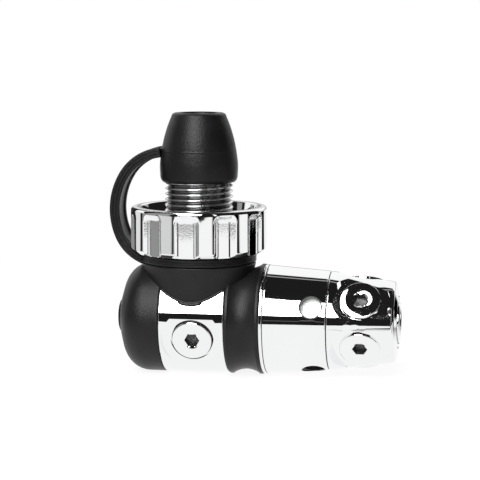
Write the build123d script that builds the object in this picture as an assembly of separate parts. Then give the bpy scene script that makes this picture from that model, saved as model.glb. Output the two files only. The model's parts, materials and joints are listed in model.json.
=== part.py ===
"""Balanced flow-through piston first stage for a scuba regulator, with a threaded inlet and a dust cap.

Every piece is built about the two working axes: the barrel lies along X and the inlet rises along Z,
and the two cross at (0, 0, 0). On export the model is moved down so that the origin sits on the
inlet axis in the plane of the handwheel's rim. Outlines are lists of (along the axis, radius) or
(along the axis, radius, corner radius). Millimetres throughout.
"""
import os
from math import cos, pi, radians, sin, sqrt
from build123d import *

GAP = 0.05             # slack between screwed or nested pieces of one rigid group
RUNNING = 0.08         # radial clearance where one piece turns or slides on another
CLEAR = 0.3            # air between pieces that pass each other

# Barrel, along X
BODY_LEFT, BODY_RIGHT, BODY_R = -10.6, 11.2, 18.3
NECK_LEFT, NECK_LEFT_R = -20.0, 14.2
NECK_RIGHT_R, SPIGOT_R, SPIGOT_END = 15.6, 13.9, 28.0
SEAT_BORE_R, SEAT_BORE_END = 9.45, -10.5
CHAMBER_R, CHAMBER_END = 7.6, 6.5
STEM_R, STEM_BORE_R = 3.9, 2.0
BUSHING_R, BUSHING_START, BUSHING_END = 7.2, 9.0, 15.0
SPRING_ROOM_R = 11.8

# Rubber bumpers
CROWN_TIP, CROWN_R, CROWN_EDGE_R, SHOULDER_R = -27.4, 24.0, 18.4, 7.0
MARK_R, MARK_WIDTH, MARK_TIP = 5.1, 1.0, -27.25
COLLAR_END, COLLAR_LIP_R, COLLAR_WAIST_R, COLLAR_LIP = 22.65, 18.5, 17.2, 1.2

# Ambient chamber: the tapered sleeve round the main spring
SLEEVE_START, SLEEVE_END, SLEEVE_R0, SLEEVE_R1 = 22.7, 44.65, 18.3, 16.65
SLEEVE_BEAD_R = 1.6
SLEEVE_ROOM_R, SLEEVE_ROOM_END = 14.4, 43.2
PISTON_BORE_R, PISTON_BORE_END = 10.6, 47.5
NECK_R, NECK_END = 12.2, 48.8
HUB_R, HUB_END, HUB_BORE_R = 8.0, 53.0, 5.0
WATER_HOLE_R, WATER_HOLE_X, WATER_HOLE_ANGLE = 3.9, 39.7, 23.5

# Piston, drawn open: the main spring holds it off the seat
LIFT = 1.0
STEM_TIP, HEAD_START, HEAD_END = -8.2, 44.0, 47.0
SPRING_WIRE_R, SPRING_R, SPRING_TURNS = 1.1, 7.4, 7.5

# Turret
TURRET_START, TURRET_EDGE, TURRET_FACE = 44.9, 66.5, 67.3
TURRET_R0, TURRET_R1 = 16.62, 13.45
BOLT_R, BOLT_SEAT, BOLT_HEAD_R, BOLT_HEAD_END = 5.95, 65.0, 8.5, 67.0
PORTS, PORT_X, PORT_ANGLE, PORT_FLAT, PORT_FACE_R = 5, 55.5, 39.2, 13.2, 9.6

# Port plugs: 3/8-24 UNF on the low-pressure side, 7/16-20 UNF on the high-pressure side
LOW_THREAD_R, LOW_HEAD_R, LOW_DEPTH = 4.7625, 6.75, 4.2
HIGH_THREAD_R, HIGH_HEAD_R, HIGH_DEPTH = 5.556, 6.6, 6.0
PLUG_HEAD, PLUG_EDGE_R, SOCKET_FLATS, SOCKET_DEPTH = 0.9, 0.7, 4.4, 2.8
COUNTERSINK_R, COUNTERSINK_DEPTH = 2.9, 0.35
SEAL_SEAT, SEAL_SEAT_WIDTH, SEAL_SECTION = 1.1, 1.65, 0.5
HIGH_X, HIGH_ANGLE, HIGH_FLAT, HIGH_FACE_R = 0.5, -17.5, 16.7, 10.4

# Inlet, along Z: G 5/8 thread of the 300 bar connector
THREAD_R = 22.911 / 2
BOSS_R, BOSS_TOP, SADDLE_TOP, SADDLE_R, SADDLE_FOOT, SADDLE_FOOT_R = 10.4, 24.4, 19.0, 19.2, 7.5, 16.9
RING_BOTTOM, RING_TOP, RING_R = 19.25, 21.85, 19.3
WHEEL_BOTTOM, WHEEL_TOP, WHEEL_R, BOWL_R, BOWL_FLOOR, WHEEL_HUB_R = 22.4, 37.8, 22.9, 19.6, 28.2, 9.9
FLUTES, FLUTE_R, FLUTE_DEPTH, FLUTE_TOP, FLUTE_END = 11, 7.0, 1.5, 36.4, 0.35
COUPLING_TOP, COUPLING_SEAT, COUPLING_BORE_R, COUPLING_HEAD_R = 56.5, 49.6, 7.4, 9.1
RELIEF_START, RELIEF_END, RELIEF_R = 45.9, 46.7, 10.5
INLET_FOOT, INLET_TOP, INLET_THREAD_R, INLET_HEAD_R = 13.3, 57.0, 6.95, 8.9

# Dust cap and strap
CAP_BOTTOM, CAP_TOP, CAP_BORE_R, CAP_BORE_TOP = 46.0, 69.0, 11.75, 57.6
STRAP_WIDTH, STRAP_THICKNESS = 11.0, 2.8
STRAP_START, STRAP_HEADING = (-18.9, 20.4), 155.0
STRAP_ARCS = [(14.5, 42.0), (22.3, 53.5), (16.4, 49.5)]     # radius, turn in degrees
STRAP_TIP_R = 13.4

DATUM = WHEEL_TOP      # height of the part's origin above the barrel's axis


def turned_x(outline):
    """Solid turned about X from (x, radius[, corner radius]) points."""
    face = Face(Wire.make_polygon([Vector(point[0], point[1]) for point in outline], close=True))
    return Solid.revolve(rounded(face, outline), 360, Axis.X)


def turned_z(outline):
    """Solid turned about Z from (z, radius[, corner radius]) points."""
    return Rot(0, -90, 0) * turned_x(outline)


def rounded(face, outline):
    """The face with the corners that name a radius rounded."""
    for along, radius, *corner in outline:
        if corner:
            nearest = face.vertices().sort_by_distance((along, radius, 0))[0]
            face = face.fillet_2d(corner[0], [nearest])
    return face


def rod_x(start, end, radius):
    return turned_x([(start, 0), (start, radius), (end, radius), (end, 0)])


def rod_z(start, end, radius):
    return turned_z([(start, 0), (start, radius), (end, radius), (end, 0)])


def tube_x(start, end, inner, outer):
    return turned_x([(start, inner), (start, outer), (end, outer), (end, inner)])


def tube_z(start, end, inner, outer):
    return turned_z([(start, inner), (start, outer), (end, outer), (end, inner)])


def seal_x(x, radius, section):
    """An O-ring round the barrel's axis."""
    return Location((x, 0, 0), (0, 90, 0)) * Torus(radius, section)


def seal_z(z, radius, section):
    """An O-ring round the inlet's axis."""
    return Pos(0, 0, z) * Torus(radius, section)


def radial(x, angle, distance):
    """A place facing straight out of the barrel; the angle rises from the front, -Y, towards +Z."""
    out = Vector(0, -cos(radians(angle)), sin(radians(angle)))
    return Plane(origin=out * distance + Vector(x, 0, 0), x_dir=(1, 0, 0), z_dir=out).location


def water_holes():
    return [radial(WATER_HOLE_X, WATER_HOLE_ANGLE + 90 * i, 0) for i in range(4)]


def low_ports():
    return [radial(PORT_X, PORT_ANGLE + 360 / PORTS * i, PORT_FLAT) for i in range(PORTS)]


def high_ports():
    return [radial(HIGH_X, angle, HIGH_FLAT) for angle in (HIGH_ANGLE, 180 - HIGH_ANGLE)]


def port_cut(thread_r, depth, face_r, passage_r, passage_depth):
    """What a port removes, with its flat face at z = 0: spot face, seal seat, thread and passage."""
    cut = rod_z(0, 12, face_r)
    cut += rod_z(-SEAL_SEAT, 0, thread_r + SEAL_SEAT_WIDTH)
    cut += rod_z(-depth - CLEAR, 0, thread_r)
    return cut + rod_z(-passage_depth, 0, passage_r)


def port_plug(thread_r, head_r, depth):
    """A screw plug with its head's underside at z = 0 and a countersunk hexagon socket."""
    plug = turned_z([
        (-depth, 0), (-depth, thread_r - GAP, 0.5), (0, thread_r - GAP), (0, head_r),
        (PLUG_HEAD, head_r, PLUG_EDGE_R), (PLUG_HEAD, COUNTERSINK_R),
        (PLUG_HEAD - COUNTERSINK_DEPTH, COUNTERSINK_R - COUNTERSINK_DEPTH),
        (PLUG_HEAD - COUNTERSINK_DEPTH, 0),
    ])
    return plug - Pos(0, 0, PLUG_HEAD - SOCKET_DEPTH) * hexagon(SOCKET_FLATS, SOCKET_DEPTH)


def port_seal(thread_r):
    return Pos(0, 0, -SEAL_SECTION - GAP) * Torus(thread_r + SEAL_SEAT_WIDTH / 2, SEAL_SECTION)


def hexagon(across_flats, depth):
    return extrude(RegularPolygon(across_flats / 2, 6, major_radius=False), depth)


# ---- Barrel -------------------------------------------------------------------------------------

def main_body():
    shell = turned_x([
        (NECK_LEFT, 0), (NECK_LEFT, NECK_LEFT_R, 0.8), (BODY_LEFT, NECK_LEFT_R),
        (BODY_LEFT, BODY_R, 0.4), (BODY_RIGHT, BODY_R, 0.4), (BODY_RIGHT, NECK_RIGHT_R),
        (SLEEVE_START - GAP, NECK_RIGHT_R), (SLEEVE_START - GAP, SPIGOT_R),
        (SPIGOT_END, SPIGOT_R), (SPIGOT_END, 0),
    ])
    shell += rod_z(0, BOSS_TOP, BOSS_R)
    shell -= rod_x(NECK_LEFT - 1, SEAT_BORE_END, SEAT_BORE_R)
    shell -= rod_x(SEAT_BORE_END - 1, CHAMBER_END, CHAMBER_R)
    shell -= rod_x(0, BUSHING_START + 1, STEM_R + 0.1)
    shell -= rod_x(BUSHING_START, BUSHING_END, BUSHING_R)
    shell -= rod_x(BUSHING_END, SPIGOT_END + 1, SPRING_ROOM_R)
    shell -= rod_z(0, BOSS_TOP, 3.0) + rod_z(INLET_FOOT - 0.5, BOSS_TOP + 1, INLET_THREAD_R + GAP)
    shell -= rod_z(BOSS_TOP - 1.6, BOSS_TOP + 1, 9.2)
    for place in high_ports():
        shell -= place * port_cut(HIGH_THREAD_R, HIGH_DEPTH, HIGH_FACE_R, 2.5, 12)
    return shell


def end_bumper():
    """Domed rubber cap over the seat end: a crown, a rounded shoulder and a straight skirt."""
    centre = CROWN_TIP + CROWN_R
    start = centre - sqrt(CROWN_R ** 2 - CROWN_EDGE_R ** 2)
    halfway = radians(25)
    crown = ThreePointArc(
        (CROWN_TIP, 0), (centre - CROWN_R * cos(halfway), CROWN_R * sin(halfway)), (start, CROWN_EDGE_R)
    )
    skirt = BODY_LEFT - GAP
    rest = Polyline(
        (start, CROWN_EDGE_R), (skirt, CROWN_EDGE_R), (skirt, NECK_LEFT_R + GAP),
        (NECK_LEFT - CLEAR, NECK_LEFT_R + GAP), (NECK_LEFT - CLEAR, 0), (CROWN_TIP, 0),
    )
    face = make_face([crown, rest]).face()
    face = rounded(face, [(start, CROWN_EDGE_R, SHOULDER_R), (skirt, CROWN_EDGE_R, 0.5)])
    mark = tube_x(MARK_TIP, CROWN_TIP + 2, MARK_R - MARK_WIDTH / 2, MARK_R + MARK_WIDTH / 2)
    return Solid.revolve(face, 360, Axis.X) + mark


def collar_face(bore_r):
    """Half section of the waisted rubber collar between the body and the sleeve."""
    left, right = BODY_RIGHT + GAP, COLLAR_END
    waist = ThreePointArc(
        (left + COLLAR_LIP, COLLAR_LIP_R), ((left + right) / 2, COLLAR_WAIST_R),
        (right - COLLAR_LIP, COLLAR_LIP_R),
    )
    rest = Polyline(
        (right - COLLAR_LIP, COLLAR_LIP_R), (right, COLLAR_LIP_R), (right, bore_r), (left, bore_r),
        (left, COLLAR_LIP_R), (left + COLLAR_LIP, COLLAR_LIP_R),
    )
    face = make_face([waist, rest]).face()
    return rounded(face, [(left, COLLAR_LIP_R, 0.4), (right, COLLAR_LIP_R, 0.4)])


def barrel_collar():
    return Solid.revolve(collar_face(NECK_RIGHT_R + GAP), 360, Axis.X)


def port_saddle():
    """Flared boot round the inlet boss, cut to sit on the barrel and both bumpers."""
    boot = turned_z([
        (SADDLE_FOOT, 0), (SADDLE_FOOT, SADDLE_FOOT_R), (SADDLE_TOP, SADDLE_R, 0.4), (SADDLE_TOP, 0),
    ])
    boot -= rod_x(-30, BODY_RIGHT + GAP, CROWN_EDGE_R + GAP)
    boot -= rod_x(0, 30, NECK_RIGHT_R + GAP)
    boot -= Solid.revolve(collar_face(NECK_RIGHT_R), 360, Axis.X)
    return boot - rod_z(0, 30, BOSS_R + GAP)


def seat_plug():
    plug = turned_x([
        (NECK_LEFT, 0), (NECK_LEFT, SEAT_BORE_R - GAP, 0.5), (-12.5, SEAT_BORE_R - GAP), (-12.5, 6.8),
        (-9.8, 6.8, 0.4), (-9.8, 4.3), (-10.8, 4.3), (-10.8, 0),
    ])
    return plug - Location((NECK_LEFT - 0.01, 0, 0), (0, 90, 0)) * hexagon(8.0, 4.0)


def ambient_chamber():
    sleeve = turned_x([
        (SLEEVE_START, SPIGOT_R + GAP), (SLEEVE_START, SLEEVE_R0, SLEEVE_BEAD_R),
        (SLEEVE_END, SLEEVE_R1, 0.3),
        (SLEEVE_END, NECK_R), (NECK_END, NECK_R, 0.4), (NECK_END, HUB_R), (HUB_END, HUB_R),
        (HUB_END, HUB_BORE_R), (PISTON_BORE_END, HUB_BORE_R), (PISTON_BORE_END, PISTON_BORE_R),
        (SLEEVE_ROOM_END, PISTON_BORE_R), (SLEEVE_ROOM_END, SLEEVE_ROOM_R),
        (SPIGOT_END, SLEEVE_ROOM_R), (SPIGOT_END, SPIGOT_R + GAP),
    ])
    sleeve -= tube_x(45.9, 47.3, NECK_R - 1.1, NECK_R + 1)
    for place in water_holes():
        sleeve -= place * rod_z(10, 20, WATER_HOLE_R)
    return sleeve


def piston():
    shape = turned_x([
        (STEM_TIP, STEM_BORE_R), (STEM_TIP, STEM_BORE_R + 0.5), (STEM_TIP + 1.4, STEM_R),
        (HEAD_START, STEM_R, 0.8), (HEAD_START, PISTON_BORE_R - RUNNING),
        (HEAD_END, PISTON_BORE_R - RUNNING), (HEAD_END, STEM_BORE_R),
    ])
    return shape - tube_x(44.9, 46.1, PISTON_BORE_R - 1.1, PISTON_BORE_R + 1)


def main_spring():
    start, end = BUSHING_END + 1.0 + SPRING_WIRE_R + 0.1, HEAD_START - SPRING_WIRE_R - 0.1
    path = Helix((end - start) / SPRING_TURNS, end - start, SPRING_R)
    wire = sweep(Plane(origin=path @ 0, z_dir=path % 0) * Circle(SPRING_WIRE_R), path, is_frenet=True)
    return Location((start, 0, 0), (0, 90, 0)) * wire


# ---- Turret -------------------------------------------------------------------------------------

def turret():
    shape = turned_x([
        (TURRET_START, NECK_R + RUNNING), (TURRET_START, TURRET_R0, 0.3),
        (TURRET_EDGE, TURRET_R1, 1.3), (TURRET_FACE, BOLT_HEAD_R + CLEAR),
        (BOLT_SEAT - 0.1, BOLT_HEAD_R + CLEAR), (BOLT_SEAT - 0.1, BOLT_R + RUNNING),
        (HUB_END + 0.2, BOLT_R + RUNNING), (HUB_END + 0.2, HUB_R + 0.1), (NECK_END + 0.2, HUB_R + 0.1),
        (NECK_END + 0.2, NECK_R + RUNNING),
    ])
    shape -= tube_x(54.0, 57.0, BOLT_R, BOLT_R + 0.9)
    for place in low_ports():
        shape -= place * port_cut(LOW_THREAD_R, LOW_DEPTH, PORT_FACE_R, 2.2, PORT_FLAT - BOLT_R - 0.4)
    return shape


def turret_bolt():
    """Hollow bolt that the turret swivels on, with the end port in its head."""
    shape = turned_x([
        (48.6, 2.2), (48.6, HUB_BORE_R - GAP), (HUB_END + GAP, HUB_BORE_R - GAP), (HUB_END + GAP, BOLT_R),
        (BOLT_SEAT, BOLT_R), (BOLT_SEAT, BOLT_HEAD_R), (BOLT_HEAD_END, BOLT_HEAD_R, 0.4),
        (BOLT_HEAD_END, LOW_THREAD_R), (62.2, LOW_THREAD_R), (62.2, 2.2),
    ])
    shape -= tube_x(59.2, 60.6, BOLT_R - 1.0, BOLT_R + 1)
    for turn in range(4):
        shape -= radial(PORT_X, 90 * turn, 0) * rod_z(0, 8, 1.2)
    seat_r = LOW_THREAD_R + SEAL_SEAT_WIDTH
    return shape - tube_x(BOLT_HEAD_END - SEAL_SEAT, BOLT_HEAD_END + 1, LOW_THREAD_R - 0.1, seat_r)


def end_port():
    return Location((BOLT_HEAD_END, 0, 0), (0, 90, 0))


# ---- Inlet --------------------------------------------------------------------------------------

def inlet_retainer():
    """Hollow bolt through the coupling, with room for the filter and a seal groove in its face."""
    shape = turned_z([
        (INLET_FOOT, 3.2), (INLET_FOOT, INLET_THREAD_R, 0.4), (BOSS_TOP - 1.6, INLET_THREAD_R),
        (BOSS_TOP - 1.6, 7.9), (BOSS_TOP - 0.1, 7.9), (BOSS_TOP - 0.1, COUPLING_BORE_R - RUNNING),
        (COUPLING_SEAT + 0.4, COUPLING_BORE_R - RUNNING), (COUPLING_SEAT + 0.4, INLET_HEAD_R),
        (INLET_TOP, INLET_HEAD_R, 0.4), (INLET_TOP, 5.0), (52.6, 5.0), (52.6, 5.4), (51.6, 5.4),
        (51.6, 5.0), (40.0, 5.0), (36.0, 3.2),
    ])
    return shape - tube_z(INLET_TOP - 1.3, INLET_TOP + 1, 6.3, 8.1)


def din_coupling():
    return turned_z([
        (BOSS_TOP + 0.5, COUPLING_BORE_R), (BOSS_TOP + 0.5, WHEEL_HUB_R), (BOWL_FLOOR, WHEEL_HUB_R),
        (BOWL_FLOOR, THREAD_R), (RELIEF_START, THREAD_R), (RELIEF_START, RELIEF_R),
        (RELIEF_END, RELIEF_R), (RELIEF_END, THREAD_R), (COUPLING_TOP - 1.0, THREAD_R),
        (COUPLING_TOP, THREAD_R - 1.0), (COUPLING_TOP, COUPLING_HEAD_R),
        (COUPLING_SEAT, COUPLING_HEAD_R), (COUPLING_SEAT, COUPLING_BORE_R),
    ])


def handwheel():
    """Fluted wheel with an open bowl round the thread."""
    wheel = turned_z([
        (BOSS_TOP + CLEAR, WHEEL_HUB_R), (BOSS_TOP + CLEAR, BOSS_R + CLEAR), (WHEEL_BOTTOM, BOSS_R + CLEAR),
        (WHEEL_BOTTOM, WHEEL_R - 1.6), (WHEEL_BOTTOM + 1.4, WHEEL_R, 0.8), (WHEEL_TOP, WHEEL_R, 1.2),
        (WHEEL_TOP, BOWL_R, 0.5), (BOWL_FLOOR, BOWL_R - 1.4, 1.5), (BOWL_FLOOR, WHEEL_HUB_R),
    ])
    shoulder = FLUTE_TOP - FLUTE_R * FLUTE_END
    flute = rod_z(0, shoulder, FLUTE_R)
    flute += Pos(0, 0, shoulder) * scale(Sphere(FLUTE_R), (1, 1, FLUTE_END))
    for turn in range(FLUTES):
        angle = radians(-90 + 360 / FLUTES * turn)
        reach = WHEEL_R - FLUTE_DEPTH + FLUTE_R
        wheel -= Pos(reach * cos(angle), reach * sin(angle), 0) * flute
    return wheel


def strap_ring():
    return turned_z([
        (RING_BOTTOM, BOSS_R + 0.35), (RING_BOTTOM, RING_R, 0.4), (RING_TOP, RING_R, 0.8),
        (RING_TOP, BOSS_R + 0.35),
    ])


def strap_edge(offset):
    """The strap's arcs, moved to one side of its middle by the offset."""
    (x, z), heading, arcs = STRAP_START, radians(STRAP_HEADING), []
    for radius, turn in STRAP_ARCS:
        centre = Vector(x + radius * sin(heading), z - radius * cos(heading))
        points = []
        for share in (0, 0.5, 1):
            at = heading + pi / 2 - radians(turn) * share
            points.append(centre + Vector(cos(at), sin(at)) * (radius + offset))
        arcs.append(ThreePointArc(*points))
        heading -= radians(turn)
        x, z = centre.X - radius * sin(heading), centre.Y + radius * cos(heading)
    return arcs


def strap():
    outer, inner = strap_edge(STRAP_THICKNESS / 2), strap_edge(-STRAP_THICKNESS / 2)
    ends = [Line(outer[0] @ 0, inner[0] @ 0), Line(outer[-1] @ 1, inner[-1] @ 1)]
    face = make_face([*outer, *inner, *ends]).face()
    band = extrude(Rot(90, 0, 0) * face, STRAP_WIDTH / 2, both=True)
    band -= rod_z(0, RING_TOP + 3, RING_R)
    band -= rod_z(CAP_BOTTOM, CAP_TOP, STRAP_TIP_R)
    band -= rod_z(WHEEL_BOTTOM - CLEAR, WHEEL_TOP, WHEEL_R + CLEAR)
    return band - rod_z(0, RING_BOTTOM, 60)


def dust_cap():
    outer = Spline(
        (CAP_BOTTOM + 2.4, 13.0), (CAP_BOTTOM + 6.5, 13.0), (CAP_BOTTOM + 12.5, 12.15),
        (CAP_TOP - 5.5, 10.85), (CAP_TOP - 1.3, 9.3),
    )
    rest = Polyline(
        (CAP_TOP - 1.3, 9.3), (CAP_TOP, 8.2), (CAP_TOP, 6.5), (CAP_TOP - 2.0, 6.0), (CAP_TOP - 2.0, 0),
        (CAP_TOP - 3.6, 0), (CAP_TOP - 3.6, 6.0), (CAP_BORE_TOP, CAP_BORE_R - 0.4),
        (CAP_BORE_TOP, CAP_BORE_R), (CAP_BOTTOM, CAP_BORE_R), (CAP_BOTTOM, 12.1), (CAP_BOTTOM + 1, 12.8),
        (CAP_BOTTOM + 2.4, 13.0),
    )
    return Rot(0, -90, 0) * Solid.revolve(make_face([outer, rest]).face(), 360, Axis.X)


NODES = {
    "main_body": main_body(),
    "end_bumper": end_bumper(),
    "barrel_collar": barrel_collar(),
    "port_saddle": port_saddle(),
    "seat_plug": seat_plug(),
    "seat_plug_seal": seal_x(-11.6, 8.1, 0.75),
    "high_pressure_seat": rod_x(-10.75, STEM_TIP - LIFT, 4.25),
    "stem_seal": seal_x(BUSHING_START + 0.8, STEM_R + 0.15 + 0.7, 0.7),
    "stem_bushing": tube_x(BUSHING_START + 1.7, BUSHING_END - GAP, STEM_R + RUNNING, BUSHING_R - GAP),
    "spring_washer": tube_x(BUSHING_END, BUSHING_END + 1.0, STEM_R + CLEAR, SPRING_ROOM_R - 0.6),
    "main_spring": main_spring(),
    "insulating_bushing": tube_x(SPIGOT_END + CLEAR, SLEEVE_ROOM_END - 0.5, 9.6, 13.4),
    "piston": piston(),
    "piston_seal": seal_x(45.5, PISTON_BORE_R - 0.56, 0.5),
    "ambient_chamber": ambient_chamber(),
    "chamber_neck_seal": seal_x(46.6, NECK_R - 0.52, 0.55),
    "turret": turret(),
    "turret_bolt": turret_bolt(),
    "turret_bolt_seal": seal_x(59.9, BOLT_R - 0.46, 0.5),
    "low_pressure_plugs": Compound([at * port_plug(LOW_THREAD_R, LOW_HEAD_R, LOW_DEPTH) for at in low_ports()]),
    "low_pressure_plug_seals": Compound([at * port_seal(LOW_THREAD_R) for at in low_ports()]),
    "high_pressure_plugs": Compound(
        [at * port_plug(HIGH_THREAD_R, HIGH_HEAD_R, HIGH_DEPTH) for at in high_ports()]
    ),
    "high_pressure_plug_seals": Compound([at * port_seal(HIGH_THREAD_R) for at in high_ports()]),
    "end_port_plug": end_port() * port_plug(LOW_THREAD_R, LOW_HEAD_R, LOW_DEPTH),
    "end_port_seal": end_port() * port_seal(LOW_THREAD_R),
    "inlet_retainer": inlet_retainer(),
    "retainer_seal": seal_z(BOSS_TOP - 0.85, 8.55, 0.55),
    "thrust_washer": tube_z(COUPLING_SEAT + GAP, COUPLING_SEAT + 0.35, COUPLING_BORE_R, INLET_HEAD_R),
    "inlet_filter": turned_z([(40.4, 0), (40.4, 2.6), (50.6, 4.9), (51.4, 4.9), (51.4, 0)]),
    "filter_circlip": tube_z(51.7, 52.5, 4.2, 5.35),
    "inlet_seal": seal_z(INLET_TOP - 0.45, 7.2, 0.8),
    "din_coupling": din_coupling(),
    "handwheel": handwheel(),
    "strap_ring": strap_ring(),
    "strap": strap(),
    "dust_cap": dust_cap(),
}

os.makedirs("parts", exist_ok=True)
for name, shape in NODES.items():
    export_step(Pos(0, 0, -DATUM) * shape, f"parts/{name}.step")
print(len(NODES), "nodes written")
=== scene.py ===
"""Dresses a scuba regulator's first stage: bumpers, threaded inlet, fluted wheel, strap and dust cap.

The frame holds every working part at its real size. This add-on gives each one its finish, makes the
moulded and threaded pieces in full detail and sets the studio round them. All lengths are metres in the
frame's own axes: the inlet rises along Z through the origin, and the barrel lies along X below it.
"""
import json
from math import acos, atan2, cos, degrees, hypot, pi, radians, sin, sqrt, tan

import bmesh
import bpy
from bpy.props import FloatProperty, FloatVectorProperty, IntProperty, PointerProperty
from mathutils import Matrix, Vector


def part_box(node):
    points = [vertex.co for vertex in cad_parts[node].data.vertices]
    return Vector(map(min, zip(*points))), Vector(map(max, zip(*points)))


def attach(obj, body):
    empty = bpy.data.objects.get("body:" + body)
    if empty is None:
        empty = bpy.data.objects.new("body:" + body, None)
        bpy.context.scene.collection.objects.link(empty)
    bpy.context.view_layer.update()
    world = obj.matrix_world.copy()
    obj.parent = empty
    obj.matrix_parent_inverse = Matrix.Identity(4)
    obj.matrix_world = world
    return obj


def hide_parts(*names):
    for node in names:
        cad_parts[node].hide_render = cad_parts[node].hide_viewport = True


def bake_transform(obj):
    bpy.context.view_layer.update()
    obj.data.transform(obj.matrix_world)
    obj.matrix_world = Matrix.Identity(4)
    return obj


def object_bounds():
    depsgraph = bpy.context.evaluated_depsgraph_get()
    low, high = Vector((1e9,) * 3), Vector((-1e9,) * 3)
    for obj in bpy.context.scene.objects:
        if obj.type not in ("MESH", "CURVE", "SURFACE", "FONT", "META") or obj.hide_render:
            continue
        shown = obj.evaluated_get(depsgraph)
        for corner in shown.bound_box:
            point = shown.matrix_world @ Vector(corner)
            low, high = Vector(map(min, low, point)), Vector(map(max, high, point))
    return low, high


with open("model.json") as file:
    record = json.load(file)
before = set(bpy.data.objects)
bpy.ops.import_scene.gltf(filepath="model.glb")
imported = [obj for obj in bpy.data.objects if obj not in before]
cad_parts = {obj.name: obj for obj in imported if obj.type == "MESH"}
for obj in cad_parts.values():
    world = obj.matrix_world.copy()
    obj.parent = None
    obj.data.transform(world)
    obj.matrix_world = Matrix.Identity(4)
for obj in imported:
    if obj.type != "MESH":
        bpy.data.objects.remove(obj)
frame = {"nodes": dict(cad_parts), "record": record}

bl_info = {
    "name": "Regulator First Stage",
    "version": (1, 0, 0),
    "blender": (4, 5, 0),
    "location": "3D View > Sidebar > First Stage",
    "description": "Makes the rubber, the thread, the wheel, the finishes and the studio of a first stage",
    "category": "Object",
}

MM = 0.001
CAD_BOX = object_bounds()


def length(name, text, default):
    return FloatProperty(
        name=name, description=text, default=default, subtype="DISTANCE", unit="LENGTH"
    )


def colour(name, text, default):
    return FloatVectorProperty(
        name=name, description=text, default=default, size=4, subtype="COLOR", min=0.0, max=1.0
    )


def share(name, text, default):
    return FloatProperty(name=name, description=text, default=default, min=0.0, max=1.0, subtype="FACTOR")


def turn(name, text, default):
    return FloatProperty(
        name=name, description=text, default=radians(default), subtype="ANGLE", unit="ROTATION"
    )


# ---- What a user may change ---------------------------------------------------------------------

class BumperSizes(bpy.types.PropertyGroup):
    crown_radius: length("Crown radius", "Radius of the domed end", 34.0 * MM)
    shoulder_radius: length("Shoulder radius", "Radius where the dome turns into the skirt", 8.5 * MM)
    lip_round: length("Lip rounding", "Rounding of every moulded lip", 0.45 * MM)
    mark_radius: length("Mark radius", "Radius of the raised ring on the dome", 5.1 * MM)
    mark_height: length("Mark height", "Height of the raised ring on the dome", 0.8 * MM)
    mark_reach: length("Mark reach", "Half the width of the raised ring", 0.62 * MM)
    dome_bore: length("Dome bore", "Radius of the dome's room for the body's neck", 14.3 * MM)
    neck_gap: length("Neck gap", "Air between the dome and the end of the neck", 0.3 * MM)
    collar_bore: length("Collar bore", "Radius that the collar sits on", 15.65 * MM)
    collar_step: length("Collar step", "Drop from each lip to the waist", 0.22 * MM)
    collar_lip: length("Collar lip", "Width of each of the collar's lips", 1.25 * MM)
    collar_lip_round: length("Collar lip rounding", "Rounding of each lip towards the waist", 0.25 * MM)
    collar_waist: length("Collar waist", "Depth of the hollow between the lips", 1.3 * MM)
    bead: length("Saddle bead", "Thickness of the bead along the saddle's edge", 0.9 * MM)
    bead_sink: length("Bead sink", "How far the bead's middle lies under the bumpers' surface", 0.1 * MM)
    slot_length: length("Saddle slot", "Length of the slot under the saddle's front", 8.4 * MM)
    slot_out: length("Slot out", "How far the slot stands out from the bead", 0.35 * MM)
    slot_drop: length("Slot drop", "How far the slot lies below the bead", 0.5 * MM)
    saddle_foot: length("Saddle foot", "Radius of the saddle's flare at its foot", 16.9 * MM)
    saddle_edge: length("Saddle edge", "Height of the saddle's straight upper edge", 0.5 * MM)
    saddle_left: length("Saddle left", "Where the bead starts, from the inlet's axis", -10.6 * MM)
    saddle_right: length("Saddle right", "Where the bead ends, from the inlet's axis", 11.0 * MM)


class WheelSizes(bpy.types.PropertyGroup):
    flutes: IntProperty(
        name="Flutes", description="Finger flutes round the wheel", default=11, min=3, max=40
    )
    flute_width: length("Flute width", "Width of each flute round the wheel", 8.2 * MM)
    flute_depth: length("Flute depth", "Depth of each flute at its middle", 1.5 * MM)
    flute_top: length("Flute top", "Distance from the rim down to the flutes' rounded tops", 1.4 * MM)
    flute_end: length("Flute end", "Height over which a flute's top rounds out", 2.4 * MM)
    flute_bottom: FloatProperty(
        name="Flute bottom", description="How flat a flute's bottom is: 2 is round", default=3.6,
        min=2.0, max=12.0,
    )
    rim_width: length("Rim width", "Width of the flat rim round the bowl", 3.3 * MM)
    rim_round: length("Rim rounding", "Rounding of the rim's outer edge", 1.1 * MM)
    bowl_draft: length("Bowl draft", "How far the bowl narrows towards its floor", 1.4 * MM)
    floor_height: length("Bowl floor", "Height of the bowl's floor above the wheel's underside", 5.8 * MM)
    hub_radius: length("Hub radius", "Bore that the coupling sits in", 9.9 * MM)
    foot_in: length("Foot bevel in", "Width of the bevel round the underside", 1.6 * MM)
    foot_up: length("Foot bevel up", "Height of the bevel round the underside", 1.4 * MM)
    foot_round: length("Foot rounding", "Rounding of the underside's edges", 0.3 * MM)
    foot_edge: length("Bevel rounding", "Rounding from the bevel to the side", 0.9 * MM)
    bowl_edge: length("Bowl edge", "Rounding of the rim's inner edge", 0.5 * MM)
    bowl_round: length("Bowl rounding", "Rounding at the bowl's floor", 1.5 * MM)
    boss_room_radius: length("Boss room", "Radius of the underside's hollow over the inlet boss", 10.7 * MM)
    boss_room_height: length("Boss room height", "Height of the hollow over the inlet boss", 2.3 * MM)


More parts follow.
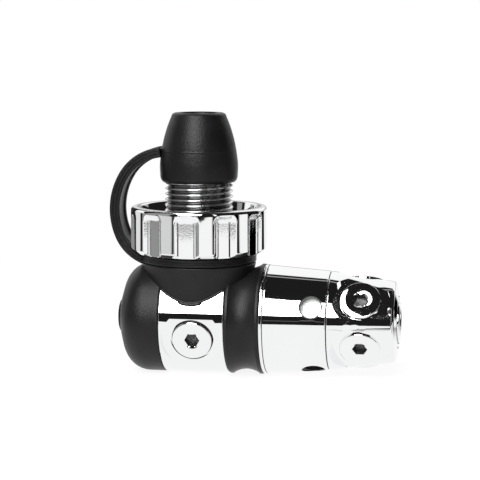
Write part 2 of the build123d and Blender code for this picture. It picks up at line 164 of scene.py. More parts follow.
class ThreadSizes(bpy.types.PropertyGroup):
    pitch: length("Pitch", "Distance between turns, 14 to the inch", 25.4 / 14 * MM)
    depth: length("Depth", "Depth of the rounded thread form", 1.16 * MM)
    run_out: length("Run-out", "Length over which the thread fades at its foot", 1.6 * MM)
    bore_radius: length("Bore", "Bore that the retainer passes through", 7.4 * MM)
    mouth_radius: length("Mouth", "Wider bore at the top", 9.1 * MM)
    mouth_depth: length("Mouth depth", "Depth of the wider bore", 6.9 * MM)
    chamfer: length("Chamfer", "Chamfer at the thread's top", 1.0 * MM)


class StrapSizes(bpy.types.PropertyGroup):
    width: length("Width", "Width of the strap", 11.0 * MM)
    thickness: length("Thickness", "Thickness of the strap at its ridged edges", 3.4 * MM)
    ridge: length("Ridge", "Width of the ridge along each edge", 1.5 * MM)
    recess: length("Recess", "Depth of the grained web between the ridges", 0.55 * MM)
    groove: length("Groove", "Depth of the fine grooves round the ring and along the edge", 0.16 * MM)
    edge_round: length("Edge rounding", "Rounding of the strap's edges", 0.4 * MM)
    ridge_round: length("Ridge rounding", "Rounding of the ridges towards the web", 0.25 * MM)
    ridge_slope: length("Ridge slope", "Width of the slope from a ridge to the web", 0.3 * MM)
    web_round: length("Web rounding", "Rounding where that slope meets the web", 0.15 * MM)
    bore_radius: length("Ring bore", "Bore of the ring", 10.75 * MM)
    ring_foot_round: length("Ring foot", "Rounding of the ring's lower edge", 0.45 * MM)
    ring_round: length("Ring rounding", "Rounding of the ring's upper edge", 0.8 * MM)


class CapSizes(bpy.types.PropertyGroup):
    bore_radius: length("Bore", "Bore that slips over the thread", 11.75 * MM)
    bore_depth: length("Bore depth", "Depth of the bore", 11.6 * MM)
    belly_radius: length("Belly radius", "Greatest radius, near the mouth", 13.05 * MM)
    waist_radius: length("Waist radius", "Radius halfway up", 12.15 * MM)
    crown_radius: length("Crown radius", "Radius at the top edge", 9.35 * MM)
    recess_radius: length("Recess radius", "Radius of the hollow in the top", 6.5 * MM)
    recess_depth: length("Recess depth", "Depth of the hollow in the top", 2.0 * MM)
    seam_height: length("Seam height", "Height of the mould's parting line above the mouth", 10.4 * MM)
    seam: length("Seam", "How far the parting line stands proud", 0.09 * MM)


class SleeveSizes(bpy.types.PropertyGroup):
    rim_width: length("Rim width", "Width of the bright rim at the sleeve's inner end", 1.2 * MM)
    rim_height: length("Rim height", "How far the rim stands above the sleeve's end", 0.15 * MM)
    rim_round: length("Rim rounding", "Rounding of the rim's edges", 0.35 * MM)
    # The groove and the turret gap are drawn as dark rings of painted shade.
    groove_width: length("Groove width", "Width of the dark groove beside the rim", 0.2 * MM)
    gap_width: length("Turret gap", "Width of the dark ring between sleeve and turret", 0.23 * MM)
    gap_sink: length("Gap sink", "How far that ring lies below the turret's edge", 0.25 * MM)
    trim_depth: length("Trim depth", "Depth of the rim and of the dark rings", 2.0 * MM)
    hole_radius: length("Water hole", "Radius of the holes that let the water in", 3.9 * MM)
    hole_place: length("Water hole place", "From the inlet's axis to the ring of holes", 39.7 * MM)
    hole_angle: turn("Water hole angle", "Angle of the first hole above the front", 23.5)
    holes: IntProperty(name="Water holes", description="Holes round the sleeve", default=4, min=1, max=12)
    # Each water hole holds a dark ring of painted shade where its wall is in shade.
    hole_shade_wall: length("Liner wall", "Wall of the dark liner in each hole", 0.4 * MM)
    hole_shade_foot: length("Liner foot", "Where a liner starts, from the barrel's axis", 14.6 * MM)
    hole_shade_top: length("Liner top", "Where a liner ends, from the barrel's axis", 16.4 * MM)


class PlugSizes(bpy.types.PropertyGroup):
    head_height: length("Head height", "Height of a plug's head above its flat", 0.9 * MM)
    head_round: length("Head rounding", "Rounding of the head's edge", 0.4 * MM)
    socket_flats: length("Socket", "Hexagon socket, across its flats", 4.4 * MM)
    socket_depth: length("Socket depth", "Depth of the socket", 2.8 * MM)
    countersink_radius: length("Countersink", "Radius of the countersink round the socket", 2.9 * MM)
    countersink_depth: length("Countersink depth", "Depth of the countersink", 0.35 * MM)
    countersink_round: length("Countersink rounding", "Rounding of the countersink's edge", 0.1 * MM)
    drill_depth: length("Drill depth", "Depth of the drilled point below the socket", 0.8 * MM)
    thread_round: length("Thread rounding", "Rounding of the thread's end", 0.5 * MM)
    low_ports: IntProperty(
        name="Ports", description="Low-pressure ports round the turret", default=5, min=1, max=8
    )
    low_place: length("Low-pressure place", "From the inlet's axis to the ring of ports", 55.5 * MM)
    low_angle: turn("Low-pressure angle", "Angle of the first port above the front", 39.2)
    low_flat: length("Low-pressure flat", "Height of a port's flat from the barrel's axis", 13.2 * MM)
    low_thread: length("Low-pressure thread", "Radius of the thread, 3/8 inch", 4.71 * MM)
    low_head: length("Low-pressure head", "Radius of the plug's head", 6.75 * MM)
    low_depth: length("Low-pressure depth", "Length of the thread", 4.2 * MM)
    high_place: length("High-pressure place", "From the inlet's axis to the port", 0.5 * MM)
    high_angle: turn("High-pressure angle", "Angle of the port above the front", -17.5)
    high_flat: length("High-pressure flat", "Height of the port's flat from the barrel's axis", 16.7 * MM)
    high_thread: length("High-pressure thread", "Radius of the thread, 7/16 inch", 5.5 * MM)
    high_head: length("High-pressure head", "Radius of the plug's head", 6.6 * MM)
    high_depth: length("High-pressure depth", "Length of the thread", 6.0 * MM)


class Finishes(bpy.types.PropertyGroup):
    chrome: colour("Chrome", "Colour of the plating", (0.93, 0.935, 0.94, 1))
    machined: colour("Machined metal", "Colour of the bright thread and retainer", (0.85, 0.85, 0.85, 1))
    steel: colour("Steel", "Colour of the piston and washers", (0.62, 0.63, 0.64, 1))
    spring: colour("Spring steel", "Colour of the spring and clip", (0.40, 0.41, 0.43, 1))
    brass: colour("Brass", "Colour of the plain brass plug", (0.72, 0.52, 0.24, 1))
    bronze: colour("Bronze", "Colour of the sintered filter", (0.46, 0.31, 0.16, 1))
    rubber: colour("Bumper rubber", "Colour of the bumpers, collar and saddle", (0.006, 0.006, 0.0065, 1))
    strap: colour("Strap rubber", "Colour of the strap, ring and cap", (0.005, 0.005, 0.0055, 1))
    seal: colour("Seal rubber", "Colour of the O-rings", (0.008, 0.008, 0.008, 1))
    plastic: colour("White plastic", "Colour of the seat, bushings and washer", (0.95, 0.95, 0.94, 1))
    # The socket colour is partly unplated metal and partly painted shade of the recess.
    socket: colour("Socket", "Colour of the unplated metal inside a plug's socket", (0.10, 0.10, 0.10, 1))
    wear: share("Wear", "How much of the plating shows hairlines and handling marks", 0.25)


class StageSizes(bpy.types.PropertyGroup):
    azimuth: turn("Azimuth", "Camera's turn from straight in front towards the turret", 9.38)
    elevation: turn("Elevation", "Camera's height above the level", 7.04)
    distance: length("Distance", "From the camera to the point it looks at", 0.59885)
    lens: FloatProperty(name="Lens", description="Focal length", default=133.95, unit="CAMERA")
    aim_x: length("Aim along", "Point looked at, along the barrel from the box's middle", -5.4 * MM)
    aim_z: length("Aim up", "Point looked at, above the box's middle", 1.2 * MM)
    table_front: length("Table front", "From the barrel's axis to the table's front edge", 0.48)
    table_reach: length("Table reach", "From the barrel's axis to the table's other edges", 2.5)
    backdrop: FloatProperty(name="Backdrop", description="Brightness of the white backdrop", default=1.0)
    softbox: FloatProperty(name="Softbox", description="Brightness of the main softbox", default=8.0)
    table_glow: FloatProperty(
        name="Table glow", description="Brightness of the table in reflections", default=0.97
    )
    room: FloatProperty(name="Room", description="Brightness of the dark room", default=0.012)
    overhead: FloatProperty(
        name="Overhead", description="Power of the overhead fill", default=3.8, unit="POWER"
    )
    front: FloatProperty(name="Front", description="Power of the front fill", default=9.0, unit="POWER")


GROUPS = {
    "first_stage_bumpers": BumperSizes,
    "first_stage_wheel": WheelSizes,
    "first_stage_thread": ThreadSizes,
    "first_stage_strap": StrapSizes,
    "first_stage_cap": CapSizes,
    "first_stage_plugs": PlugSizes,
    "first_stage_sleeve": SleeveSizes,
    "first_stage_finishes": Finishes,
    "first_stage_stage": StageSizes,
}


# ---- Mesh making --------------------------------------------------------------------------------

BARREL_Z = (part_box("ambient_chamber")[0].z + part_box("ambient_chamber")[1].z) / 2
SHARP = radians(32)
FINE_STEP = 0.12 * MM       # spacing of points where an outline carries a fine line
ARC_STEP = radians(9)


def arc(centre, radius, start, end):
    """Points along an arc in (along, radius), from one angle to another."""
    steps = max(2, round(abs(end - start) / ARC_STEP))
    angles = [start + (end - start) * step / steps for step in range(steps + 1)]
    return [(centre[0] + radius * cos(a), centre[1] + radius * sin(a)) for a in angles]


def rounded(outline):
    """The closed outline with each corner that names a radius turned into an arc."""
    points = []
    for index, (along, out, *corner) in enumerate(outline):
        if not corner:
            points.append((along, out))
            continue
        here = Vector((along, out))
        before = (Vector(outline[index - 1][:2]) - here).normalized()
        after = (Vector(outline[(index + 1) % len(outline)][:2]) - here).normalized()
        half = acos(max(-1, min(1, before.dot(after)))) / 2
        centre = here + (before + after).normalized() * corner[0] / sin(half)
        first = here + before * corner[0] / tan(half) - centre
        last = here + after * corner[0] / tan(half) - centre
        start = atan2(first.y, first.x)
        sweep = (atan2(last.y, last.x) - start + pi) % (2 * pi) - pi
        points += arc(centre, corner[0], start, start + sweep)
    return points


def divided(points, step, inside):
    """The closed outline with its stretches between points in the given part cut into short steps."""
    result = []
    for index, (along, out) in enumerate(points):
        result.append((along, out))
        after = points[(index + 1) % len(points)]
        if inside(along, out) and inside(*after):
            pieces = int(hypot(after[0] - along, after[1] - out) / step)
            for piece in range(1, pieces):
                part = piece / pieces
                result.append((along + (after[0] - along) * part, out + (after[1] - out) * part))
    return result


def smooth_line(points, steps=8):
    """A flowing curve through the points."""
    line = []
    for index in range(len(points) - 1):
        before = Vector(points[max(index - 1, 0)])
        start, end = Vector(points[index]), Vector(points[index + 1])
        after = Vector(points[min(index + 2, len(points) - 1)])
        for step in range(steps):
            t = step / steps
            leave, arrive = (end - before) / 2, (after - start) / 2
            line.append(tuple(
                start * (2 * t ** 3 - 3 * t ** 2 + 1) + leave * (t ** 3 - 2 * t ** 2 + t)
                + end * (3 * t ** 2 - 2 * t ** 3) + arrive * (t ** 3 - t ** 2)
            ))
    return line + [tuple(points[-1])]


def about_x(along, out, angle):
    """A point about the barrel's axis; the angle rises from the front towards the top."""
    return along, -out * cos(angle), BARREL_Z + out * sin(angle)


def about_z(along, out, angle):
    """A point about the inlet's axis; the angle turns from the front towards the turret."""
    return out * sin(angle), -out * cos(angle), along


def new_piece(name, points, faces, sharp=SHARP):
    """A smooth object with its normals outward and its corners above the given angle sharp."""
    mesh = bpy.data.meshes.new(name)
    mesh.from_pydata(points, [], faces)
    work = bmesh.new()
    work.from_mesh(mesh)
    bmesh.ops.recalc_face_normals(work, faces=work.faces)
    work.to_mesh(mesh)
    work.free()
    mesh.shade_smooth()
    mesh.set_sharp_from_angle(angle=sharp)
    piece = bpy.data.objects.new(name, mesh)
    bpy.context.scene.collection.objects.link(piece)
    return piece


def facing(origin, way, across):
    """A place function for a piece that faces one way out of its origin."""
    up = way.cross(across)
    return lambda along, out, angle: origin + way * along + (across * cos(angle) + up * sin(angle)) * out


def turned(name, outline, places, segments=180, shape=None, sharp=SHARP):
    """Rings turned from one closed outline of (along, radius), one at each place."""
    points, faces = [], []
    for place in places:
        turn_one(points, faces, outline, place, segments, shape)
    return new_piece(name, points, faces, sharp)


def turn_one(points, faces, outline, place, segments, shape):
    """Adds one ring's points and faces; shape(along, radius, angle) carves it."""
    rings = []
    for along, out in outline:
        if out < 1e-7:
            rings.append([len(points)])
            points.append(place(along, 0, 0))
            continue
        ring = []
        for segment in range(segments):
            angle = 2 * pi * segment / segments
            ring.append(len(points))
            points.append(place(along, shape(along, out, angle) if shape else out, angle))
        rings.append(ring)
    for ring, after in zip(rings, rings[1:] + rings[:1]):
        if len(ring) == 1 and len(after) == 1:
            continue
        for segment in range(segments):
            turn_on = (segment + 1) % segments
            corners = [ring[segment % len(ring)], ring[turn_on % len(ring)],
                       after[turn_on % len(after)], after[segment % len(after)]]
            faces.append(tuple(dict.fromkeys(corners)))


def swept(name, sections, closed=False):
    """A solid skinned over matching closed sections, with flat ends unless it closes on itself."""
    size = len(sections[0])
    points = [point for section in sections for point in section]
    faces = []
    stations = len(sections)
    for station in range(stations if closed else stations - 1):
        here, there = station * size, (station + 1) % stations * size
        for side in range(size):
            beside = (side + 1) % size
            faces.append((here + side, here + beside, there + beside, there + side))
    if not closed:
        faces += [tuple(range(size)), tuple(range((stations - 1) * size, stations * size))]
    return new_piece(name, points, faces)


def finish_piece(piece, material, body, slot, *nodes):
    """Gives a piece its material and its body and hides the nodes it stands for; the slot is not used."""
    piece.data.materials.append(material)
    if nodes:
        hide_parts(*nodes)
    if body:
        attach(piece, body)
    return piece


# ---- Node making --------------------------------------------------------------------------------

class Graph:
    """Adds nodes to a tree; a value given for a socket is a number, a colour or another socket."""

    def __init__(self, tree):
        self.tree = tree

    def add(self, kind, inputs=(), **settings):
        node = self.tree.nodes.new(kind)
        for key, value in settings.items():
            setattr(node, key, value)
        for key, value in dict(inputs).items():
            self.join(value, node.inputs[key])
        return node

    def join(self, value, socket):
        if isinstance(value, bpy.types.NodeSocket):
            self.tree.links.new(value, socket)
        else:
            socket.default_value = value

    def math(self, operation, *values):
        return self.add("ShaderNodeMath", enumerate(values), operation=operation).outputs[0]

    def vector(self, operation, *values):
        return self.add("ShaderNodeVectorMath", enumerate(values), operation=operation).outputs[0]

    def ramp(self, value, low, high, to_low=0.0, to_high=1.0):
        """A smooth step of the value from one limit to the other."""
        inputs = {"Value": value, "From Min": low, "From Max": high, "To Min": to_low, "To Max": to_high}
        return self.add("ShaderNodeMapRange", inputs, interpolation_type="SMOOTHSTEP").outputs["Result"]

    def span(self, value, low, high, soft=0.4):
        """1 where the value is between the limits."""
        rise = self.ramp(value, low - soft, low + soft)
        return self.math("MULTIPLY", rise, self.ramp(value, high - soft, high + soft, 1.0, 0.0))

    def noise(self, vector, scale, detail=2.0, roughness=0.5):
        inputs = {"Vector": vector, "Scale": scale, "Detail": detail, "Roughness": roughness}
        return self.add("ShaderNodeTexNoise", inputs).outputs["Fac"]

    def blend(self, factor, first, second):
        inputs = {"Factor": factor, "A": first, "B": second}
        node = self.tree.nodes.new("ShaderNodeMix")
        node.data_type = "RGBA"
        sockets = {s.identifier: s for s in node.inputs}
        for key, identifier in (("Factor", "Factor_Float"), ("A", "A_Color"), ("B", "B_Color")):
            self.join(inputs[key], sockets[identifier])
        return next(s for s in node.outputs if s.identifier == "Result_Color")

    def place(self):
        """The surface's place in the frame's own axes."""
        return self.add("ShaderNodeTexCoord").outputs["Object"]


def effect(name, inputs, outputs, build):
    """A shader node group with the named inputs and outputs, filled by build(graph, ins, outs)."""
    tree = bpy.data.node_groups.new(name, "ShaderNodeTree")
    for label, kind, default in inputs:
        socket = tree.interface.new_socket(name=label, in_out="INPUT", socket_type=kind)
        socket.default_value = default
    for label, kind in outputs:
        tree.interface.new_socket(name=label, in_out="OUTPUT", socket_type=kind)
    graph = Graph(tree)
    ins = graph.add("NodeGroupInput").outputs
    outs = graph.add("NodeGroupOutput").inputs
    build(graph, ins, outs)
    return tree


NUMBER = "NodeSocketFloat"


def build_grain(graph, ins, outs):
    """Two sizes of moulded grain, and a slow drift in tone."""
    place = graph.place()
    fine = graph.noise(place, ins["Fineness"], 3.0, 0.6)
    coarse = graph.noise(place, graph.math("MULTIPLY", ins["Fineness"], 0.3), 2.0)
    graph.join(graph.math("MULTIPLY_ADD", coarse, 0.5, fine), outs["Height"])
    drift = graph.noise(place, graph.math("MULTIPLY", ins["Fineness"], 0.03), 2.0)
    graph.join(graph.ramp(drift, 0.35, 0.65), outs["Drift"])


def build_hairlines(graph, ins, outs):
    """Sparse straight hairlines in two directions, as handling leaves them."""
    place = graph.place()
    marks = None
    for stretch, tilt in (((1.0, 0.04, 0.5), 0.5), ((0.05, 0.6, 1.0), -0.9)):
        turned_place = graph.add(
            "ShaderNodeMapping", {"Vector": place, "Rotation": (tilt, tilt * 0.7, 0.3), "Scale": stretch}
        ).outputs[0]
        lines = graph.noise(turned_place, ins["Fineness"], 1.0)
        lines = graph.ramp(lines, 0.66, 0.72)
        marks = lines if marks is None else graph.math("MAXIMUM", marks, lines)
    patches = graph.ramp(graph.noise(place, 60.0, 2.0), 0.45, 0.7)
    marks = graph.math("MULTIPLY", marks, patches)
    graph.join(graph.math("MULTIPLY", marks, ins["Amount"]), outs["Mask"])


def build_turning(graph, ins, outs):
    """Fine rings that a lathe tool leaves round an axis."""
    along = graph.add("ShaderNodeVectorMath", {0: graph.place(), 1: ins["Axis"]}, operation="DOT_PRODUCT")
    steps = graph.math("MULTIPLY", along.outputs["Value"], ins["Fineness"])
    rings = graph.add("ShaderNodeTexNoise", {"W": steps, "Scale": 1.0, "Detail": 3.0}, noise_dimensions="1D")
    graph.join(rings.outputs["Fac"], outs["Height"])


def build_dust(graph, ins, outs):
    """A thin, uneven fall of dust on whatever faces up."""
    normal = graph.add("ShaderNodeNewGeometry").outputs["Normal"]
    up = graph.add("ShaderNodeSeparateXYZ", {"Vector": normal}).outputs["Z"]
    place = graph.place()
    specks = graph.ramp(graph.noise(place, 2600.0, 2.0), 0.6, 0.72)
    haze = graph.ramp(graph.noise(place, 130.0, 3.0), 0.35, 0.75, 0.1, 0.6)
    fall = graph.math("MAXIMUM", specks, haze)
    fall = graph.math("MULTIPLY", fall, graph.ramp(up, 0.1, 0.95))
    graph.join(graph.math("MULTIPLY", fall, ins["Amount"]), outs["Mask"])


EFFECTS = {
    "Moulded Grain": (
        [("Fineness", NUMBER, 4000.0)], [("Height", NUMBER), ("Drift", NUMBER)], build_grain,
    ),
    "Hairlines": (
        [("Fineness", NUMBER, 900.0), ("Amount", NUMBER, 0.3)], [("Mask", NUMBER)], build_hairlines,
    ),
    "Turning Marks": (
        [("Fineness", NUMBER, 9000.0), ("Axis", "NodeSocketVector", (0, 0, 1))], [("Height", NUMBER)],
        build_turning,
    ),
    "Settled Dust": ([("Amount", NUMBER, 0.2)], [("Mask", NUMBER)], build_dust),
}


def use(graph, name, **inputs):
    """Places a shared effect, built at its first use, with this material's values."""
    tree = bpy.data.node_groups.get(name) or effect(name, *EFFECTS[name])
    node = graph.add("ShaderNodeGroup", node_tree=tree)
    for key, value in inputs.items():
        graph.join(value, node.inputs[key])
    return node.outputs


def new_material(name, **constants):
    """A material with a Principled BSDF whose plain values are set on its own sockets."""
    material = bpy.data.materials.new(name)
    material.use_nodes = True
    tree = material.node_tree
    shader = next(node for node in tree.nodes if node.type == "BSDF_PRINCIPLED")
    for key, value in constants.items():
        shader.inputs[key.replace("_", " ")].default_value = value
    return material, Graph(tree), shader.inputs


def tone(base, factor):
    """A colour brightened or darkened."""
    return tuple(min(1.0, value * factor) for value in base[:3]) + (1.0,)


def bump(graph, height, distance, normal=None):
    inputs = {"Height": height, "Distance": distance, "Strength": 1.0}
    if normal is not None:
        inputs["Normal"] = normal
    return graph.add("ShaderNodeBump", inputs).outputs["Normal"]


# ---- Finishes -----------------------------------------------------------------------------------

def chrome_finish(name, base, wear, pitted=None):
    """Bright plating over polished brass; pitted(graph) masks where the casting shows through."""
    material, graph, shader = new_material(name, Metallic=1.0)
    scratches = use(graph, "Hairlines", Fineness=900.0, Amount=wear)["Mask"]
    dust = use(graph, "Settled Dust", Amount=0.12)["Mask"]
    grain = use(graph, "Moulded Grain", Fineness=700.0)
    worn = graph.math("MAXIMUM", scratches, graph.math("MULTIPLY", dust, 0.5))
    graph.join(graph.blend(grain["Drift"], tone(base, 0.975), tone(base, 1.0)), shader["Base Color"])
    graph.join(graph.math("MULTIPLY_ADD", worn, 0.16, 0.025), shader["Roughness"])
    normal = bump(graph, grain["Height"], 0.0012 * MM)
    if pitted:
        pits = graph.math("MULTIPLY", graph.noise(graph.place(), 2600.0, 2.0, 0.7), pitted(graph))
        normal = bump(graph, pits, 0.05 * MM, normal)
    graph.join(normal, shader["Normal"])
    return material


def machined_finish(name, base, roughness, axis, marks=9000.0, depth=0.004 * MM, groove_shade=None):
    """Turned metal with the lathe's fine rings; an optional mask darkens a thread's hollows with painted
    shade.
    """
    material, graph, shader = new_material(name, Metallic=1.0)
    rings = use(graph, "Turning Marks", Fineness=marks, Axis=axis)["Height"]
    drift = use(graph, "Moulded Grain", Fineness=900.0)["Drift"]
    scratches = use(graph, "Hairlines", Fineness=1400.0, Amount=0.5)["Mask"]
    shade = graph.blend(drift, tone(base, 0.88), tone(base, 1.05))
    if groove_shade:
        # Painted shade: the thread's hollows are darkened to three tenths of the base colour.
        shade = graph.blend(groove_shade(graph), shade, tone(base, 0.3))
    graph.join(shade, shader["Base Color"])
    rough = graph.math("MULTIPLY_ADD", rings, 0.12, roughness - 0.05)
    graph.join(graph.math("MULTIPLY_ADD", scratches, 0.15, rough), shader["Roughness"])
    graph.join(bump(graph, rings, depth), shader["Normal"])
    return material


def rubber_finish(name, base, roughness, fineness, depth, dusty):
    """Moulded rubber: a fine tooth, a slow drift in sheen, and a little dust."""
    material, graph, shader = new_material(name, Specular_IOR_Level=0.26)
    grain = use(graph, "Moulded Grain", Fineness=fineness)
    dust = use(graph, "Settled Dust", Amount=dusty)["Mask"]
    shade = graph.blend(grain["Drift"], tone(base, 0.8), tone(base, 1.25))
    graph.join(graph.blend(dust, shade, (0.16, 0.16, 0.16, 1)), shader["Base Color"])
    rough = graph.math("MULTIPLY_ADD", grain["Drift"], 0.08, roughness - 0.04)
    graph.join(graph.math("MULTIPLY_ADD", dust, 0.3, rough), shader["Roughness"])
    graph.join(bump(graph, grain["Height"], depth), shader["Normal"])
    return material


def sintered_finish(name, base):
    """Pressed bronze grains."""
    material, graph, shader = new_material(name, Metallic=1.0)
    cells = graph.add("ShaderNodeTexVoronoi", {"Vector": graph.place(), "Scale": 3500.0}).outputs["Distance"]
    drift = use(graph, "Moulded Grain", Fineness=2500.0)["Drift"]
    graph.join(graph.blend(drift, tone(base, 0.7), tone(base, 1.2)), shader["Base Color"])
    graph.join(graph.ramp(cells, 0.1, 0.7, 0.35, 0.7), shader["Roughness"])
    graph.join(bump(graph, cells, -0.05 * MM), shader["Normal"])
    return material


def plastic_finish(name, base):
    """Turned white bearing plastic."""
    material, graph, shader = new_material(name, Subsurface_Weight=0.05, IOR=1.43)
    grain = use(graph, "Moulded Grain", Fineness=1800.0)
    rings = use(graph, "Turning Marks", Fineness=7000.0, Axis=(1, 0, 0))["Height"]
    graph.join(graph.blend(grain["Drift"], tone(base, 0.94), tone(base, 1.0)), shader["Base Color"])
    graph.join(graph.math("MULTIPLY_ADD", rings, 0.15, 0.32), shader["Roughness"])
    graph.join(bump(graph, rings, 0.006 * MM), shader["Normal"])
    return material


def hollow_mask(graph, out, start, full, last, end):
    """1 from one depth to another below the outer radius about the inlet's axis, soft at both ends."""
    flat = graph.vector("MULTIPLY", graph.place(), (1.0, 1.0, 0.0))
    radius = graph.add("ShaderNodeVectorMath", {0: flat}, operation="LENGTH").outputs["Value"]
    return graph.math("MULTIPLY", graph.ramp(radius, out - start, out - full),
                      graph.ramp(radius, out - end, out - last))


def flute_mask(graph):
    """1 high in the wheel's flutes, whose hollows are left as cast and only lightly polished."""
    low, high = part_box("handwheel")
    hollow = hollow_mask(graph, high.x, start=0.1 * MM, full=0.45 * MM, last=1.8 * MM, end=2.2 * MM)
    up = graph.add("ShaderNodeSeparateXYZ", {"Vector": graph.place()}).outputs["Z"]
    clean, cast = low.z + 3 * MM, high.z - 2 * MM
    return graph.math("MULTIPLY", hollow, graph.ramp(up, clean, cast))


def thread_groove_shade(graph):
    """1 in the hollows of the inlet's thread, where painted shade darkens the metal."""
    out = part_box("din_coupling")[1].x
    return hollow_mask(graph, out, start=0.25 * MM, full=0.8 * MM, last=1.3 * MM, end=1.6 * MM)


def shaded_socket_finish(name, base):
    """Rough, unplated metal with bright specks, inside a plug's socket, darkened further with painted shade
    of the recess.
    """
    material, graph, shader = new_material(name, Metallic=1.0, Roughness=0.5)
    specks = graph.ramp(graph.noise(graph.place(), 3200.0, 2.0, 0.7), 0.52, 0.7)
    graph.join(graph.blend(specks, base, tone(base, 5.0)), shader["Base Color"])
    graph.join(bump(graph, specks, 0.03 * MM), shader["Normal"])
    return material


FINISHES = {
    "chrome_plated_brass": lambda f: chrome_finish("chrome", f.chrome, f.wear),
    "wheel_chrome": lambda f: chrome_finish("wheel_chrome", f.chrome, f.wear, flute_mask),
    "bright_thread_metal": lambda f: machined_finish(
        "bright_thread", f.machined, roughness=0.2, axis=(0, 0, 1), marks=4000.0, depth=0.001 * MM,
        groove_shade=thread_groove_shade,
    ),
    "bright_steel": lambda f: machined_finish("bright_steel", f.steel, roughness=0.2, axis=(1, 0, 0)),
    "spring_steel": lambda f: machined_finish(
        "spring_steel", f.spring, roughness=0.3, axis=(0.6, 0.6, 0.5), marks=3000.0
    ),
    "plain_brass": lambda f: machined_finish("plain_brass", f.brass, roughness=0.24, axis=(1, 0, 0)),
    "sintered_bronze": lambda f: sintered_finish("sintered_bronze", f.bronze),
    "black_rubber": lambda f: rubber_finish(
        "bumper_rubber", f.rubber, roughness=0.38, fineness=2300.0, depth=0.080 * MM, dusty=0.02
    ),
    "strap_rubber": lambda f: rubber_finish(
        "strap_rubber", f.strap, roughness=0.36, fineness=2000.0, depth=0.110 * MM, dusty=0.02
    ),
    "seal_rubber": lambda f: rubber_finish(
        "seal_rubber", f.seal, roughness=0.34, fineness=3000.0, depth=0.004 * MM, dusty=0.0
    ),
    "white_plastic": lambda f: plastic_finish("white_plastic", f.plastic),
    "socket": lambda f: shaded_socket_finish("plug_socket_shade", f.socket),
}
made = {}


def finish(slot):
    """The material of a slot, made once."""
    if slot not in made:
        made[slot] = FINISHES[slot](bpy.context.scene.first_stage_finishes)
    return made[slot]


# ---- Operators ----------------------------------------------------------------------------------

class FIRSTSTAGE_OT_finishes(bpy.types.Operator):
    """Give every working part of the frame the finish of its material slot"""
    bl_idname = "first_stage.finishes"
    bl_label = "Working Parts"

    def execute(self, context):
        for part in frame["record"]["subparts"]:
            node = frame["nodes"][part["node"]]
            node.data.materials.clear()
            node.data.materials.append(finish(part["material_slot"]))
        return {"FINISHED"}


class FIRSTSTAGE_OT_end_bumper(bpy.types.Operator):
    """Mould the domed rubber cap over the barrel's seat end"""
    bl_idname = "first_stage.end_bumper"
    bl_label = "End Bumper"

    def execute(self, context):
        sizes = context.scene.first_stage_bumpers
        low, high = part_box("end_bumper")
        out, skirt = high.y, high.x
        tip = low.x + sizes.mark_height
        centre = tip + sizes.crown_radius
        shoulder_out = out - sizes.shoulder_radius
        offset = sizes.crown_radius - sizes.shoulder_radius
        shoulder_x = centre - sqrt(offset ** 2 - shoulder_out ** 2)
        meet = atan2(shoulder_out, shoulder_x - centre)
        crown = arc((centre, 0), sizes.crown_radius, pi, meet)
        crown = divided(crown, FINE_STEP, lambda along, radius: radius < 2 * sizes.mark_radius)
        crown = [(along - self.mark(sizes, radius), radius) for along, radius in crown]
        neck_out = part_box("main_body")[0].x - sizes.neck_gap
        bore = sizes.dome_bore
        outline = crown + arc((shoulder_x, shoulder_out), sizes.shoulder_radius, meet, pi / 2)[1:]
        lip = sizes.lip_round
        outline += rounded([
            (skirt - 3 * lip, out), (skirt, out, lip), (skirt, bore), (neck_out, bore), (neck_out, 0),
        ])
        piece = turned("end_bumper_dome", outline, [about_x])
        finish_piece(piece, finish("black_rubber"), "regulator", "black_rubber", "end_bumper")
        return {"FINISHED"}

    def mark(self, sizes, radius):
        """Height of the raised ring at this radius."""
        reach = abs(radius - sizes.mark_radius) / sizes.mark_reach
        return sizes.mark_height * max(0.0, 1 - reach ** 2) ** 0.6


class FIRSTSTAGE_OT_barrel_collar(bpy.types.Operator):
    """Mould the waisted rubber collar between the body and the sleeve"""
    bl_idname = "first_stage.barrel_collar"
    bl_label = "Barrel Collar"

    def execute(self, context):
        sizes = context.scene.first_stage_bumpers
        low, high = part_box("barrel_collar")
        out, left, right = high.y, low.x, high.x
        bore, inner = sizes.collar_bore, out - sizes.collar_step
        lip, edge, lip_edge = sizes.collar_lip, sizes.lip_round, sizes.collar_lip_round
        start, end = left + lip, right - lip
        outline = rounded([(left, bore), (left, out, edge), (start, out, lip_edge), (start, inner)])
        for station in range(1, 24):
            across = station / 12 - 1
            along = start + (end - start) * station / 24
            outline.append((along, inner - sizes.collar_waist * (1 - across ** 2)))
        outline += rounded([(end, inner), (end, out, lip_edge), (right, out, edge), (right, bore)])
        piece = turned("waisted_collar", outline, [about_x])
        finish_piece(piece, finish("black_rubber"), "regulator", "black_rubber", "barrel_collar")
        return {"FINISHED"}


